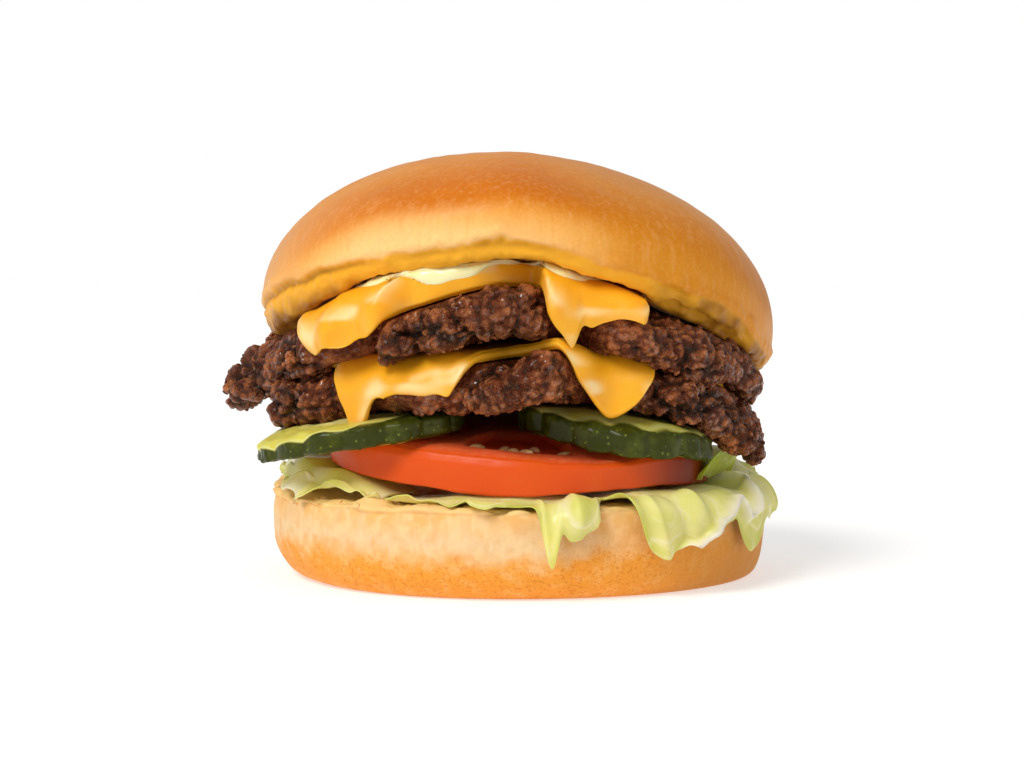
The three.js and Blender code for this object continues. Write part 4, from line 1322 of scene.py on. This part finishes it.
def build_leaf(name, leaf):
    columns = int(2.0 * (leaf["span"][1] - leaf["span"][0])) + 10
    rows = 56
    u, v = np.meshgrid(np.linspace(0, 1, columns + 1), np.linspace(0, 1, rows + 1))
    middle = leaf_middle(leaf, u, v)
    normal = np.cross(np.gradient(middle, axis=1), np.gradient(middle, axis=0))
    normal /= np.linalg.norm(normal, axis=-1, keepdims=True)
    if normal[..., 2].sum() < 0:
        normal = -normal
    thin = LEAF_THICK / 2 * (1 - 0.6 * v[..., None])
    points = np.concatenate([middle + normal * thin, middle - normal * thin]).reshape(-1, 3)
    upper = np.arange((columns + 1) * (rows + 1)).reshape(rows + 1, columns + 1)
    quads = [upper[:-1, :-1], upper[1:, :-1], upper[1:, 1:], upper[:-1, 1:]]
    over = np.stack(quads, -1).reshape(-1, 4)
    faces = np.concatenate([over, over[:, ::-1] + upper.size])
    border = np.concatenate([upper[0, :-1], upper[:-1, -1], upper[-1, :0:-1], upper[:0:-1, 0]])
    after = np.roll(border, -1)
    walls = np.stack([border, after, after + upper.size, border + upper.size], -1)
    piece = new_piece(name, points, np.concatenate([faces, walls]), LETTUCE)
    close_outward(piece)
    direction, sideways = across_leaf(leaf, u)
    rib = 0.1 * smooth(0.25 - v, 0, 0.2)
    for at_knee, at_rim, half_width in leaf.get("ribs", []):
        rib = rib + 0.9 * bell(beside(direction, v, at_knee, at_rim), half_width)
    fold = soft_noise(points[: u.size], 5, 137).reshape(u.shape)
    green = np.clip(leaf.get("green", 0.15) + 0.45 * smooth(v, 0.7, 1) + 0.3 * fold, 0, 1)
    flat = np.stack([sideways, 20 * v, np.zeros_like(u)], -1).reshape(-1, 3)
    vein = 0.55 * bell(soft_noise(flat, (4.5, 11, 9), 141), 0.07)
    vein += 0.3 * bell(soft_noise(flat, 3, 142), 0.08)
    both_sides = {"rib": np.clip(rib, 0, 1), "green": green, "vein": np.clip(vein, 0, 1)}
    mark(piece, **{name: np.tile(values.ravel(), 2) for name, values in both_sides.items()})
    return piece


for side, leaf in LEAVES.items():
    hand_over(build_leaf(f"{side}_leaf", leaf), "lettuce", f"lettuce_{side}")

# %% [markdown]
# ## Floor, light and camera
# The burger stands on a plain pale floor in a white room. One large soft light from the upper left
# gives form, a weaker one from the right keeps the shadows open, and the room fills the rest.

# %% Stage
ROOM_LIGHT = 0.46
floor_mesh = bpy.data.meshes.new("floor")
floor_mesh.from_pydata([(-6, -6, 0), (6, -6, 0), (6, 6, 0), (-6, 6, 0)], [], [(0, 1, 2, 3)])
floor = bpy.data.objects.new("floor", floor_mesh)
bpy.context.scene.collection.objects.link(floor)
FLOOR_PAINT, _, surface, _ = new_material(
    "white_studio_floor",
    Roughness=0.8, Specular_IOR_Level=0.1, Emission_Strength=0.5,
)
surface.inputs["Base Color"].default_value = colour("#d2d2d2")
surface.inputs["Emission Color"].default_value = (1, 1, 1, 1)
floor_mesh.materials.append(FLOOR_PAINT)

world = bpy.data.worlds.new("white_room")
bpy.context.scene.world = world
world.use_nodes = True
tree = world.node_tree
seen_directly = add(tree, "ShaderNodeLightPath").outputs["Is Camera Ray"]
strength = add(tree, "ShaderNodeMapRange", {"Value": seen_directly, 3: ROOM_LIGHT, 4: 1.0}).outputs[0]
tree.nodes["Background"].inputs["Color"].default_value = (1, 1, 1, 1)
tree.links.new(strength, tree.nodes["Background"].inputs["Strength"])


def soft_sun(name, azimuth, elevation, strength, spread, tone):
    """A sun as wide as a soft box; where it stands and how wide it is are degrees."""
    lamp = bpy.data.lights.new(name, "SUN")
    lamp.energy, lamp.angle, lamp.color = strength, math.radians(spread), tone
    light = bpy.data.objects.new(name, lamp)
    light.rotation_euler = (math.radians(90 - elevation), 0, math.radians(azimuth))
    bpy.context.scene.collection.objects.link(light)


soft_sun("key", -38, 44, 2.15, 26, (1.0, 0.98, 0.94))
soft_sun("fill", 60, 25, 0.22, 70, (1.0, 0.98, 0.95))
print("suns:", len(bpy.data.lights))

# %% [markdown]
# The camera stands 450 mm in front of the burger, a little above its middle, and looks down by two
# degrees.

# %% Camera
FOCAL_SHARE = 1.99  # focal length over the picture's width
SENSOR_WIDTH = 36
CAMERA_AT = (-1.2, -450, 58)
LOOKS_DOWN = 2.16
lens = bpy.data.cameras.new("camera")
lens.sensor_width = SENSOR_WIDTH
lens.lens = SENSOR_WIDTH * FOCAL_SHARE
camera = bpy.data.objects.new("camera", lens)
camera.location = [place * MM for place in CAMERA_AT]
camera.rotation_euler = (math.radians(90 - LOOKS_DOWN), 0, 0)
bpy.context.scene.collection.objects.link(camera)
bpy.context.scene.camera = camera
bpy.context.scene.view_settings.view_transform = "Standard"
print("focal length, mm:", round(lens.lens, 1))
